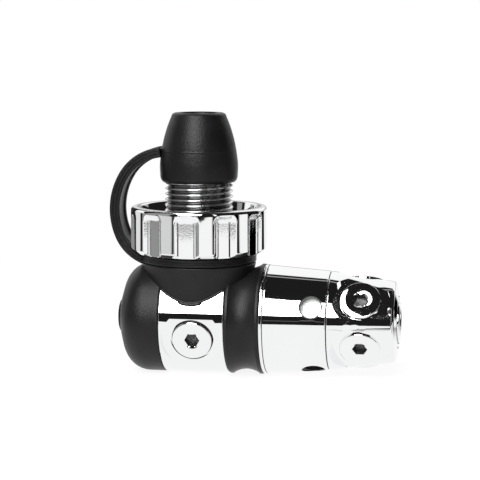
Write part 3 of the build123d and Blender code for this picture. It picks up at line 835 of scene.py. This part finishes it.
class FIRSTSTAGE_OT_saddle(bpy.types.Operator):
    """Add the bead and the slot along the lower edge of the saddle round the inlet"""
    bl_idname = "first_stage.saddle"
    bl_label = "Saddle Edge"

    slot_share = 0.62       # the slot's radius as a share of the bead's thickness
    stations, sides, rounds = 80, 12, 12

    def execute(self, context):
        sizes = context.scene.first_stage_bumpers
        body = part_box("barrel_collar")[1].y - sizes.bead_sink
        for side, label in ((-1, "front"), (1, "back")):
            path = self.edge(sizes, body, side)
            bead = self.tube(f"saddle_bead_{label}", path, sizes.bead / 2)
            finish_piece(bead, finish("black_rubber"), "regulator", "black_rubber")
            near = [point for point in path if abs(point.x) < sizes.slot_length / 2]
            lowered = [point + Vector((0, side * sizes.slot_out, -sizes.slot_drop)) for point in near]
            slot = self.tube(f"saddle_slot_{label}", lowered, sizes.bead * self.slot_share)
            finish_piece(slot, finish("seal_rubber"), "regulator", "seal_rubber")
        return {"FINISHED"}

    def edge(self, sizes, body, side):
        """Where the saddle's cone meets the body, from the left bumper to the collar."""
        low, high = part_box("port_saddle")
        foot_out, foot = sizes.saddle_foot, low.z
        slope = (high.x - foot_out) / (high.z - sizes.saddle_edge - foot)
        points = []
        for station in range(self.stations + 1):
            x = sizes.saddle_left + (sizes.saddle_right - sizes.saddle_left) * station / self.stations
            z = foot
            for _ in range(self.rounds):
                out = foot_out + slope * (z - foot)
                y = sqrt(max(out ** 2 - x ** 2, 0))
                z = BARREL_Z + sqrt(max(body ** 2 - y ** 2, 0))
            points.append(Vector((x, side * y, z)))
        return points

    def tube(self, name, path, radius):
        """A round bead along the path, thinner at its two ends."""
        sections = []
        for index, point in enumerate(path):
            ahead = path[min(index + 1, len(path) - 1)] - path[max(index - 1, 0)]
            out = Vector((0, point.y, point.z - BARREL_Z)).normalized()
            across = ahead.normalized().cross(out).normalized()
            taper = min(1.0, 0.35 + min(index, len(path) - 1 - index) * 0.25)
            ring = []
            for side in range(self.sides):
                angle = 2 * pi * side / self.sides
                ring.append(point + (across * cos(angle) + out * sin(angle)) * radius * taper)
            sections.append(ring)
        return swept(name, sections)


class FIRSTSTAGE_OT_handwheel(bpy.types.Operator):
    """Make the handwheel, its flutes with rounded tops and edges, and its bowl"""
    bl_idname = "first_stage.handwheel"
    bl_label = "Handwheel"

    row, side_depth, flute_segments = 0.35 * MM, 1.7 * MM, 72
    soft = 0.1              # how softly a flute's edge runs out, as a share of its depth

    def execute(self, context):
        sizes = context.scene.first_stage_wheel
        low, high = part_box("handwheel")
        out, bottom, top = high.x, low.z, high.z
        bowl = out - sizes.rim_width
        floor = bottom + sizes.floor_height
        room = bottom + sizes.boss_room_height
        outline = rounded([
            (room, sizes.hub_radius), (room, sizes.boss_room_radius),
            (bottom, sizes.boss_room_radius, sizes.foot_round),
            (bottom, out - sizes.foot_in, sizes.foot_round),
            (bottom + sizes.foot_up, out, sizes.foot_edge), (top, out, sizes.rim_round),
            (top, bowl, sizes.bowl_edge), (floor, bowl - sizes.bowl_draft, sizes.bowl_round),
            (floor, sizes.hub_radius),
        ])
        outline = divided(outline, self.row, lambda along, radius: radius > out - self.side_depth)
        shape = lambda along, radius, angle: self.fluted(sizes, out, top, along, radius, angle)
        piece = turned("fluted_handwheel", outline, [about_z], sizes.flutes * self.flute_segments, shape)
        finish_piece(piece, finish("wheel_chrome"), "handwheel", "chrome_plated_brass", "handwheel")
        return {"FINISHED"}

    def fluted(self, sizes, out, top, along, radius, angle):
        """The radius less the nearest flute's depth, which fades softly at its edges and its top."""
        step = 2 * pi / sizes.flutes
        off = (angle + step / 2) % step - step / 2
        across = abs(off) * out / (sizes.flute_width / 2)
        up = max(0.0, (along - (top - sizes.flute_top - sizes.flute_end)) / sizes.flute_end)
        inside = 1 - across ** sizes.flute_bottom - up ** 2
        if inside < self.soft:
            inside = max(0.0, inside + self.soft) ** 2 / (4 * self.soft)
        return min(radius, out - sizes.flute_depth * inside)


class FIRSTSTAGE_OT_coupling(bpy.types.Operator):
    """Cut the inlet's rounded thread round the coupling"""
    bl_idname = "first_stage.coupling"
    bl_label = "Threaded Coupling"

    row, segments, edge_angle = 0.075 * MM, 180, radians(80)
    threaded = 1.1          # depth of the threaded zone, in chamfers
    stretch, cut_off = 1.3, 0.15            # widen the crests and flatten them
    round_share, straight_share = 0.35, 0.65
    lead_in = 0.4           # share of the run-out that stays plain

    def execute(self, context):
        sizes = context.scene.first_stage_thread
        low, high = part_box("din_coupling")
        foot, top, out = low.z, high.z, high.x
        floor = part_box("handwheel")[0].z + context.scene.first_stage_wheel.floor_height
        hub = context.scene.first_stage_wheel.hub_radius
        seat = top - sizes.mouth_depth
        outline = [
            (foot, sizes.bore_radius), (foot, hub), (floor, hub), (floor, out), (top - sizes.chamfer, out),
            (top, out - sizes.chamfer), (top, sizes.mouth_radius), (seat, sizes.mouth_radius),
            (seat, sizes.bore_radius),
        ]
        zone = out - self.threaded * sizes.chamfer
        outline = divided(outline, self.row, lambda along, radius: radius > zone)
        shape = lambda along, radius, angle: self.cut(sizes, out, floor, along, radius, angle)
        piece = turned("inlet_thread", outline, [about_z], self.segments, shape, self.edge_angle)
        finish_piece(piece, finish("bright_thread_metal"), "handwheel", "bright_thread_metal", "din_coupling")
        return {"FINISHED"}

    def cut(self, sizes, out, floor, along, radius, angle):
        """The radius of the rounded thread, fading out at its foot."""
        if radius < out - self.threaded * sizes.chamfer or along <= floor:
            return radius
        phase = (along / sizes.pitch - angle / (2 * pi)) % 1
        wave = 1 - abs(2 * phase - 1)
        wave = max(0.0, min(1.0, wave * self.stretch - self.cut_off))
        wave = wave * wave * (3 - 2 * wave) * self.round_share + wave * self.straight_share
        fade = min(1.0, max(0.0, (along - floor) / sizes.run_out - self.lead_in))
        return min(radius, out - sizes.depth * fade * (1 - wave))


def out_of_barrel(along, angle, distance):
    """A place facing straight out of the barrel."""
    way = Vector((0, -cos(angle), sin(angle)))
    return facing(Vector((along, 0, BARREL_Z)) + way * distance, way, Vector((1, 0, 0)))


class FIRSTSTAGE_OT_sleeve(bpy.types.Operator):
    """Add the sleeve's bright rim, and dark rings of painted shade for the grooves at its two ends and inside
    its water holes
    """
    bl_idname = "first_stage.sleeve"
    bl_label = "Sleeve Trim"

    snug, liner_gap, liner_segments = 0.02 * MM, 0.03 * MM, 72

    def execute(self, context):
        sizes = context.scene.first_stage_sleeve
        low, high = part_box("ambient_chamber")
        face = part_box("turret")[0].x
        out, edge = high.y, sizes.rim_round
        foot = out - sizes.trim_depth
        start = low.x + self.snug
        end = start + sizes.rim_width
        proud = out + sizes.rim_height
        rim = rounded([(start, foot), (start, proud, edge), (end, proud, edge), (end, foot)])
        piece = turned("sleeve_rim", rim, [about_x])
        finish_piece(piece, finish("chrome_plated_brass"), "regulator", "chrome_plated_brass")
        # Painted shade: dark rings stand for the groove beside the rim and the gap at the turret.
        self.groove("sleeve_groove_shade", end, end + sizes.groove_width, out + self.snug, foot)
        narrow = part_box("turret")[1].y - sizes.gap_sink
        self.groove("turret_gap_shade", face - sizes.gap_width, face - self.snug, narrow, narrow - sizes.trim_depth)
        # Painted shade: a dark ring inside each water hole stands for the shaded wall.
        step = 2 * pi / sizes.holes
        places = [out_of_barrel(sizes.hole_place, sizes.hole_angle + step * hole, 0)
                  for hole in range(sizes.holes)]
        wall, inner = sizes.hole_radius - self.liner_gap, sizes.hole_radius - sizes.hole_shade_wall
        foot, top = sizes.hole_shade_foot, sizes.hole_shade_top
        liner = [(foot, inner), (foot, wall), (top, wall), (top, inner)]
        piece = turned("water_hole_shade_rings", liner, places, self.liner_segments)
        finish_piece(piece, finish("seal_rubber"), "regulator", "seal_rubber")
        return {"FINISHED"}

    def groove(self, name, start, end, out, foot):
        """A dark ring of painted shade that shows as a groove."""
        piece = turned(name, [(start, foot), (start, out), (end, out), (end, foot)], [about_x])
        finish_piece(piece, finish("seal_rubber"), "regulator", "seal_rubber")


class FIRSTSTAGE_OT_plugs(bpy.types.Operator):
    """Make the port plugs with their rounded heads and hexagon sockets darkened with painted shade"""
    bl_idname = "first_stage.plugs"
    bl_label = "Port Plugs"

    segments = 72
    socket_rows = 3         # rows of the outline inside the socket
    drill_share = 0.7       # radius of the drilled point in the socket's floor, in socket radii
    close = 0.001 * MM

    def execute(self, context):
        sizes = context.scene.first_stage_plugs
        low = (sizes.low_thread, sizes.low_head, sizes.low_depth)
        high = (sizes.high_thread, sizes.high_head, sizes.high_depth)
        step = 2 * pi / sizes.low_ports
        ring = [out_of_barrel(sizes.low_place, sizes.low_angle + step * port, sizes.low_flat)
                for port in range(sizes.low_ports)]
        sides = [out_of_barrel(sizes.high_place, angle, sizes.high_flat)
                 for angle in (sizes.high_angle, pi - sizes.high_angle)]
        face = Vector((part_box("turret_bolt")[1].x, 0, BARREL_Z))
        end = [facing(face, Vector((1, 0, 0)), Vector((0, 0, 1)))]
        self.plugs(sizes, "low_port_plugs", ring, low, "turret", "low_pressure_plugs")
        self.plugs(sizes, "high_port_plugs", sides, high, "regulator", "high_pressure_plugs")
        self.plugs(sizes, "end_plug", end, low, "regulator", "end_port_plug")
        return {"FINISHED"}

    def plugs(self, sizes, name, places, plug, body, node):
        """One piece with a plug at each place, its sockets in their own finish."""
        thread, head, depth = plug
        top = sizes.head_height
        socket = sizes.socket_flats / 2
        sink, floor = top - sizes.countersink_depth, top - sizes.socket_depth
        outline = rounded([
            (-depth, 0), (-depth, thread, sizes.thread_round), (0, thread), (0, head),
            (top, head, sizes.head_round), (top, sizes.countersink_radius, sizes.countersink_round),
            (sink, socket), (floor, socket), (floor, socket * self.drill_share),
            (floor - sizes.drill_depth, 0),
        ])
        piece = turned(name, outline, places, self.segments, lambda *point: self.hexagon(socket, *point))
        finish_piece(piece, finish("chrome_plated_brass"), body, "chrome_plated_brass", node)
        # The sockets take the dark finish: unplated metal with painted shade of the recess.
        piece.data.materials.append(finish("socket"))
        rows = len(outline) - 1
        for polygon in piece.data.polygons:
            row = polygon.index // self.segments % rows
            polygon.material_index = int(row >= rows - self.socket_rows)

    def hexagon(self, socket, along, radius, angle):
        """The socket's wall, six-sided where the outline gives it as a circle."""
        if abs(radius - socket) > self.close:
            return radius
        side = pi / 3
        return socket / cos(angle % side - side / 2)


class FIRSTSTAGE_OT_strap(bpy.types.Operator):
    """Mould the cap's strap and the ring that holds it under the handwheel"""
    bl_idname = "first_stage.strap"
    bl_label = "Strap and Ring"

    # The strap's loop seen from the front: where it leaves the ring, its heading, and its arcs
    start = (-18.9 * MM, -17.4 * MM)
    heading = radians(155.0)
    arcs = ((14.5 * MM, 42.0), (22.3 * MM, 53.5), (16.4 * MM, 49.5))
    steps = 30              # stations on each arc
    wheel_gap = 0.3 * MM    # air between the strap and the handwheel
    bend_start = 32         # a station above the wheel, read but not used: the strap does not follow the cap
    tuck = 1.2 * MM         # how far the strap runs on into the ring and the cap
    groove_heights, groove_half = (0.3, 0.5, 0.7), 0.2 * MM
    side_groove, side_half = 0.3, 0.15 * MM

    def execute(self, context):
        sizes = context.scene.first_stage_strap
        self.ring(sizes)
        stations = self.route()
        section = self.section(sizes)
        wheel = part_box("handwheel")
        sections = []
        for point, normal in stations:
            ring = [point + normal * out + Vector((0, across, 0)) for across, out in section]
            sections.append([self.clear_of_wheel(place, *wheel) for place in ring])
        piece = swept("cap_strap", sections)
        finish_piece(piece, finish("strap_rubber"), None, "strap_rubber", "strap")
        first, last = stations[self.bend_start][0], stations[-1][0]
        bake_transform(piece)
        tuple(first)
        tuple(last)
        return {"FINISHED"}

    def ring(self, sizes):
        low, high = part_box("strap_ring")
        out, bottom, top = high.x, low.z, high.z
        groove = sizes.groove
        side = [(bottom, out, sizes.ring_foot_round)]
        for share_up in self.groove_heights:
            z = bottom + (top - bottom) * share_up
            half = self.groove_half
            side += [(z - half, out), (z, out - groove), (z + half, out)]
        bore = sizes.bore_radius
        outline = rounded([(bottom, bore), *side, (top, out, sizes.ring_round), (top, bore)])
        piece = turned("strap_ring_band", outline, [about_z])
        finish_piece(piece, finish("strap_rubber"), "strap", "strap_rubber", "strap_ring")

    def route(self):
        """Points along the strap's middle with the direction out of its loop."""
        x, z = self.start
        heading = self.heading
        stations = []
        for radius, swing in self.arcs:
            centre = Vector((x + radius * sin(heading), 0, z - radius * cos(heading)))
            for step in range(self.steps + 1):
                at = heading + pi / 2 - radians(swing) * step / self.steps
                normal = Vector((cos(at), 0, sin(at)))
                if step or not stations:
                    stations.append((centre + normal * radius, normal))
            heading -= radians(swing)
            x, z = centre.x - radius * sin(heading), centre.z + radius * cos(heading)
        for end, way in ((0, -1), (-1, 1)):
            point, normal = stations[end]
            tangent = Vector((normal.z, 0, -normal.x)) * way
            extra = (point + tangent * self.tuck, normal)
            stations = [extra] + stations if end == 0 else stations + [extra]
        return stations

    def clear_of_wheel(self, point, low, high):
        """The point, moved out from under the wheel's lower corner if it lies there."""
        inside = high.x + self.wheel_gap - hypot(point.x, point.y)
        above = point.z - (low.z - self.wheel_gap)
        if inside <= 0 or above <= 0 or point.z > high.z:
            return point
        if above < inside:
            return Vector((point.x, point.y, low.z - self.wheel_gap))
        return point * Vector((1 + inside / hypot(point.x, point.y), 1, 1))

    def section(self, sizes):
        """The strap's section as (across, out): ridged edges, a fine groove in each side, a thin web."""
        half, thick = sizes.width / 2, sizes.thickness / 2
        web = thick - sizes.recess
        inner = half - sizes.ridge
        line = thick * self.side_groove
        quarter = [
            (inner - sizes.ridge_slope, web, sizes.web_round), (inner, thick, sizes.ridge_round),
            (half, thick, sizes.edge_round), (half, line + self.side_half), (half - sizes.groove, line),
            (half, line - self.side_half),
        ]
        right = quarter + [(across, -out, *corner) for across, out, *corner in reversed(quarter)]
        left = [(-across, -out, *corner) for across, out, *corner in right]
        return rounded(right + left)


class FIRSTSTAGE_OT_dust_cap(bpy.types.Operator):
    """Mould the dust cap with its parting line and the hollow in its top"""
    bl_idname = "first_stage.dust_cap"
    bl_label = "Dust Cap"

    # The outside: heights above the mouth with their radii, then depths below the top with what
    # their radii have over the crown's
    lip_line = ((0.0, 12.1 * MM), (0.9 * MM, 12.75 * MM))
    belly_low, belly_high, belly_in, waist_up = 2.4 * MM, 6.5 * MM, 0.05 * MM, 12.5 * MM
    crown_line = ((5.5 * MM, 1.5 * MM), (1.5 * MM, 0.0), (0.5 * MM, -0.45 * MM), (0.0, -1.2 * MM))
    line_steps = 10
    recess_lip, recess_edge, recess_draft, recess_floor = 0.6 * MM, 0.35 * MM, 0.4 * MM, 0.5 * MM
    wall, roof_flat, roof_round = 1.6 * MM, 6 * MM, 0.8 * MM
    bore_draft, bore_round, mouth_round = 0.4 * MM, 0.2 * MM, 0.15 * MM
    seam_zone, seam_reach = 1.0 * MM, 0.22 * MM

    def execute(self, context):
        sizes = context.scene.first_stage_cap
        low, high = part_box("dust_cap")
        mouth, top = low.z, high.z
        belly, crown = sizes.belly_radius, sizes.crown_radius
        side = smooth_line([
            *((mouth + up, radius) for up, radius in self.lip_line),
            (mouth + self.belly_low, belly - self.belly_in), (mouth + self.belly_high, belly),
            (mouth + self.waist_up, sizes.waist_radius),
            *((top - down, crown + out) for down, out in self.crown_line),
        ], self.line_steps)
        near = lambda along, radius: abs(along - mouth - sizes.seam_height) < self.seam_zone
        side = divided(side + [side[-1]], FINE_STEP, near)
        seam = mouth + sizes.seam_height
        side = [(along, out + self.seam(sizes, along - seam)) for along, out in side]
        recess, floor = sizes.recess_radius, top - sizes.recess_depth
        roof, bore = mouth + sizes.bore_depth, sizes.bore_radius
        outline = side[:-1] + rounded([
            (top, recess + self.recess_lip), (top, recess, self.recess_edge),
            (floor, recess - self.recess_draft, self.recess_floor), (floor, 0), (floor - self.wall, 0),
            (floor - self.wall, self.roof_flat, self.roof_round),
            (roof, bore - self.bore_draft, self.bore_round), (roof, bore), (mouth, bore, self.mouth_round),
        ])
        piece = turned("dust_cap_shell", outline, [about_z])
        finish_piece(piece, finish("strap_rubber"), "cap", "strap_rubber", "dust_cap")
        return {"FINISHED"}

    def seam(self, sizes, away):
        """How far the parting line stands proud at this distance from it."""
        return sizes.seam * max(0.0, 1 - abs(away) / self.seam_reach)


class FIRSTSTAGE_OT_stage(bpy.types.Operator):
    """Set the white table, the dark room with its softbox and white backdrop, and the camera"""
    bl_idname = "first_stage.stage"
    bl_label = "Studio"

    # The lit parts of the table that reflections show: two headings in degrees and a share of the full light
    lit_headings = (
        (-30.0, 32.0, 1.0), (45.0, 68.0, 1.0), (80.0, 98.0, 1.0), (128.0, 134.0, 1.0), (150.0, 190.0, 1.0),
        (-62.0, -35.0, 0.7), (-98.0, -67.0, 0.3), (-125.0, -104.0, 0.8), (-190.0, -142.0, 1.0),
    )

    heading_edge = 2.0
    lit_near, lit_far = 0.10, 0.16          # the table is fully lit this near the part, and not beyond
    white, least_glow = 0.93, 0.88          # the table's colour, and its own glow under the part
    glow_near, glow_far = 0.05, 0.30        # where that glow starts to grow, and where it is full

    # The softbox by rise and swing in degrees; its top edge climbs to the left until it is level
    softbox_foot, softbox_sides = (15.6, 16.4), (-24.0, 11.3)
    top_edge, top_low, top_high, climb_from, climb = 0.4, 49.0, 72.0, 1.0, 2.6
    # Smaller lights: spans of two angles in degrees, some with the softness of their ends, and a strength
    lights = (
        (("heading", 36.0, 40.0), ("rise", -2.0, 50.0), 1.5),
        (("heading", -98.0, -40.0, 3.0), ("rise", -10.0, 70.0, 6.0), 0.3),
        (("rise", 4.8, 5.7, 0.3), ("swing", -6.0, 8.0, 3.0), 0.16),
        (("rise", 110.0, 113.0), ("swing", -40.0, 40.0, 4.0), 0.35),
    )
    # The backdrop: where it starts to the right, to the left, behind and below, and its darker band
    right_start, left_start = (132.0, 138.0), (-92.0, -98.0)
    back_start, low_start = (118.0, 121.0), (0.0, -2.0)
    band, band_depth = (170.0, 178.0, 2.0), 0.6

    overhead_place, front_place, fill_size = (0.0, 0.1, 0.8), (-0.15, -0.9, 0.3), 0.9
    sensor, clip = 36.0, (0.01, 50.0)

    def execute(self, context):
        sizes = context.scene.first_stage_stage
        self.table(sizes)
        self.world(context, sizes)
        self.fill("overhead_fill", self.overhead_place, sizes.overhead)
        self.fill("front_fill", self.front_place, sizes.front)
        self.camera(context, sizes)
        context.scene.view_settings.view_transform = "Standard"
        return {"FINISHED"}

    def table(self, sizes):
        low = CAD_BOX[0].z
        reach, front = sizes.table_reach, sizes.table_front
        corners = [(-reach, -front), (reach, -front), (reach, reach), (-reach, reach)]
        floor = new_piece("table", [(x, y, low) for x, y in corners], [(0, 1, 2, 3)])
        material = bpy.data.materials.new("pale_table")
        material.use_nodes = True
        material.node_tree.nodes.clear()
        graph = Graph(material.node_tree)
        place = graph.vector("MULTIPLY", graph.place(), (1.0, 1.0, 0.0))
        away = graph.add("ShaderNodeVectorMath", {0: place}, operation="LENGTH").outputs["Value"]
        parts = graph.add("ShaderNodeSeparateXYZ", {"Vector": place}).outputs
        front = graph.math("MULTIPLY", parts["Y"], -1.0)
        heading = graph.math("DEGREES", graph.math("ARCTAN2", parts["X"], front))
        lit = graph.ramp(away, self.lit_far, self.lit_near)
        for low_end, high_end, strength in self.lit_headings:
            span = graph.span(heading, low_end, high_end, self.heading_edge)
            span = graph.math("MULTIPLY", span, strength)
            lit = graph.math("MAXIMUM", lit, span)
        seen = graph.add("ShaderNodeLightPath").outputs["Is Camera Ray"]
        strength = graph.math("MAXIMUM", graph.math("MULTIPLY", lit, sizes.table_glow), seen)
        glow = graph.add("ShaderNodeEmission", {"Color": (1, 1, 1, 1), "Strength": strength}).outputs[0]
        white = (self.white, self.white, self.white, 1)
        near = graph.add("ShaderNodeBsdfDiffuse", {"Color": white}).outputs[0]
        far = graph.ramp(away, self.glow_near, self.glow_far, self.least_glow, 1.0)
        far = graph.math("MAXIMUM", far, graph.math("SUBTRACT", 1.0, seen))
        mixed = graph.add("ShaderNodeMixShader", {0: far, 1: near, 2: glow}).outputs[0]
        graph.add("ShaderNodeOutputMaterial", {"Surface": mixed})
        floor.data.materials.append(material)

    def world(self, context, sizes):
        """Light by direction: rise is the angle from level front over the top, swing the angle to a side."""
        world = bpy.data.worlds.new("studio")
        context.scene.world = world
        world.use_nodes = True
        world.node_tree.nodes.clear()
        graph = Graph(world.node_tree)
        way = graph.add("ShaderNodeTexCoord").outputs["Generated"]
        parts = graph.add("ShaderNodeSeparateXYZ", {"Vector": way}).outputs
        front = graph.math("MULTIPLY", parts["Y"], -1.0)
        rise = graph.math("DEGREES", graph.math("ARCTAN2", parts["Z"], front))
        swing = graph.math("DEGREES", graph.math("ARCSINE", parts["X"]))
        heading = graph.math("DEGREES", graph.math("ARCTAN2", parts["X"], front))
        angles = {"rise": rise, "swing": swing, "heading": heading}

        def patch(first, second):
            spans = [graph.span(angles[name], *span) for name, *span in (first, second)]
            return graph.math("MULTIPLY", *spans)

        left = graph.math("MAXIMUM", graph.math("SUBTRACT", self.climb_from, swing), 0.0)
        slant = graph.math("MULTIPLY_ADD", left, self.climb, self.top_low)
        slant = graph.math("MINIMUM", slant, self.top_high)
        under_top = graph.ramp(graph.math("SUBTRACT", slant, rise), -self.top_edge, self.top_edge)
        softbox = graph.math("MULTIPLY", under_top, graph.ramp(rise, *self.softbox_foot))
        softbox = graph.math("MULTIPLY", softbox, graph.span(swing, *self.softbox_sides))
        light = graph.math("MULTIPLY_ADD", softbox, sizes.softbox, sizes.room)
        for first, second, strength in self.lights:
            light = graph.math("MULTIPLY_ADD", patch(first, second), strength, light)
        right, left = graph.ramp(heading, *self.right_start), graph.ramp(heading, *self.left_start)
        behind, below = graph.ramp(rise, *self.back_start), graph.ramp(rise, *self.low_start)
        wide, tall = graph.math("MAXIMUM", right, left), graph.math("MAXIMUM", behind, below)
        dim = graph.math("MULTIPLY_ADD", graph.span(rise, *self.band), -self.band_depth, 1.0)
        backdrop = graph.math("MULTIPLY", graph.math("MULTIPLY", wide, tall), dim)
        light = graph.math("MULTIPLY_ADD", backdrop, sizes.backdrop, light)
        seen = graph.add("ShaderNodeLightPath").outputs["Is Camera Ray"]
        strength = graph.math("ADD", graph.math("MULTIPLY", light, graph.math("SUBTRACT", 1.0, seen)), seen)
        shine = graph.add("ShaderNodeBackground", {"Color": (1, 1, 1, 1), "Strength": strength})
        graph.add("ShaderNodeOutputWorld", {"Surface": shine.outputs[0]})

    def fill(self, name, place, power):
        """A large soft light that chrome doesn't show."""
        data = bpy.data.lights.new(name, "AREA")
        data.shape, data.size, data.size_y = "RECTANGLE", self.fill_size, self.fill_size
        data.energy = power
        lamp = bpy.data.objects.new(name, data)
        facing_middle = Vector(place).to_track_quat("Z", "Y").to_matrix().to_4x4()
        lamp.matrix_world = Matrix.Translation(place) @ facing_middle
        lamp.visible_glossy = False
        bpy.context.scene.collection.objects.link(lamp)

    def camera(self, context, sizes):
        middle = (CAD_BOX[0] + CAD_BOX[1]) / 2
        aim = Vector((middle.x + sizes.aim_x, 0, middle.z + sizes.aim_z))
        out = Vector((
            sin(sizes.azimuth) * cos(sizes.elevation), -cos(sizes.azimuth) * cos(sizes.elevation),
            sin(sizes.elevation),
        ))
        data = bpy.data.cameras.new("camera")
        data.lens, data.sensor_width = sizes.lens, self.sensor
        data.clip_start, data.clip_end = self.clip
        camera = bpy.data.objects.new("camera", data)
        facing_aim = out.to_track_quat("Z", "Y").to_matrix().to_4x4()
        camera.matrix_world = Matrix.Translation(aim + out * sizes.distance) @ facing_aim
        context.scene.collection.objects.link(camera)
        context.scene.camera = camera


OPERATORS = (
    FIRSTSTAGE_OT_finishes, FIRSTSTAGE_OT_end_bumper, FIRSTSTAGE_OT_barrel_collar, FIRSTSTAGE_OT_saddle,
    FIRSTSTAGE_OT_sleeve, FIRSTSTAGE_OT_handwheel, FIRSTSTAGE_OT_coupling, FIRSTSTAGE_OT_plugs,
    FIRSTSTAGE_OT_strap, FIRSTSTAGE_OT_dust_cap, FIRSTSTAGE_OT_stage,
)


class FIRSTSTAGE_PT_panel(bpy.types.Panel):
    """Lists the pieces of the first stage and their sizes"""
    bl_idname = "FIRSTSTAGE_PT_panel"
    bl_label = "First Stage"
    bl_space_type = "VIEW_3D"
    bl_region_type = "UI"
    bl_category = "First Stage"

    def draw(self, context):
        for operator in OPERATORS:
            self.layout.operator(operator.bl_idname)
        for name, group in GROUPS.items():
            box = self.layout.box()
            settings = getattr(context.scene, name)
            for key in group.__annotations__:
                box.prop(settings, key)


CLASSES = (*GROUPS.values(), *OPERATORS, FIRSTSTAGE_PT_panel)


def register():
    for item in CLASSES:
        bpy.utils.register_class(item)
    for name, group in GROUPS.items():
        setattr(bpy.types.Scene, name, PointerProperty(type=group))


def unregister():
    for name in GROUPS:
        delattr(bpy.types.Scene, name)
    for item in reversed(CLASSES):
        bpy.utils.unregister_class(item)


def main():
    register()
    for operator in OPERATORS:
        group, name = operator.bl_idname.split(".")
        getattr(getattr(bpy.ops, group), name)()


if __name__ == "__main__":
    main()
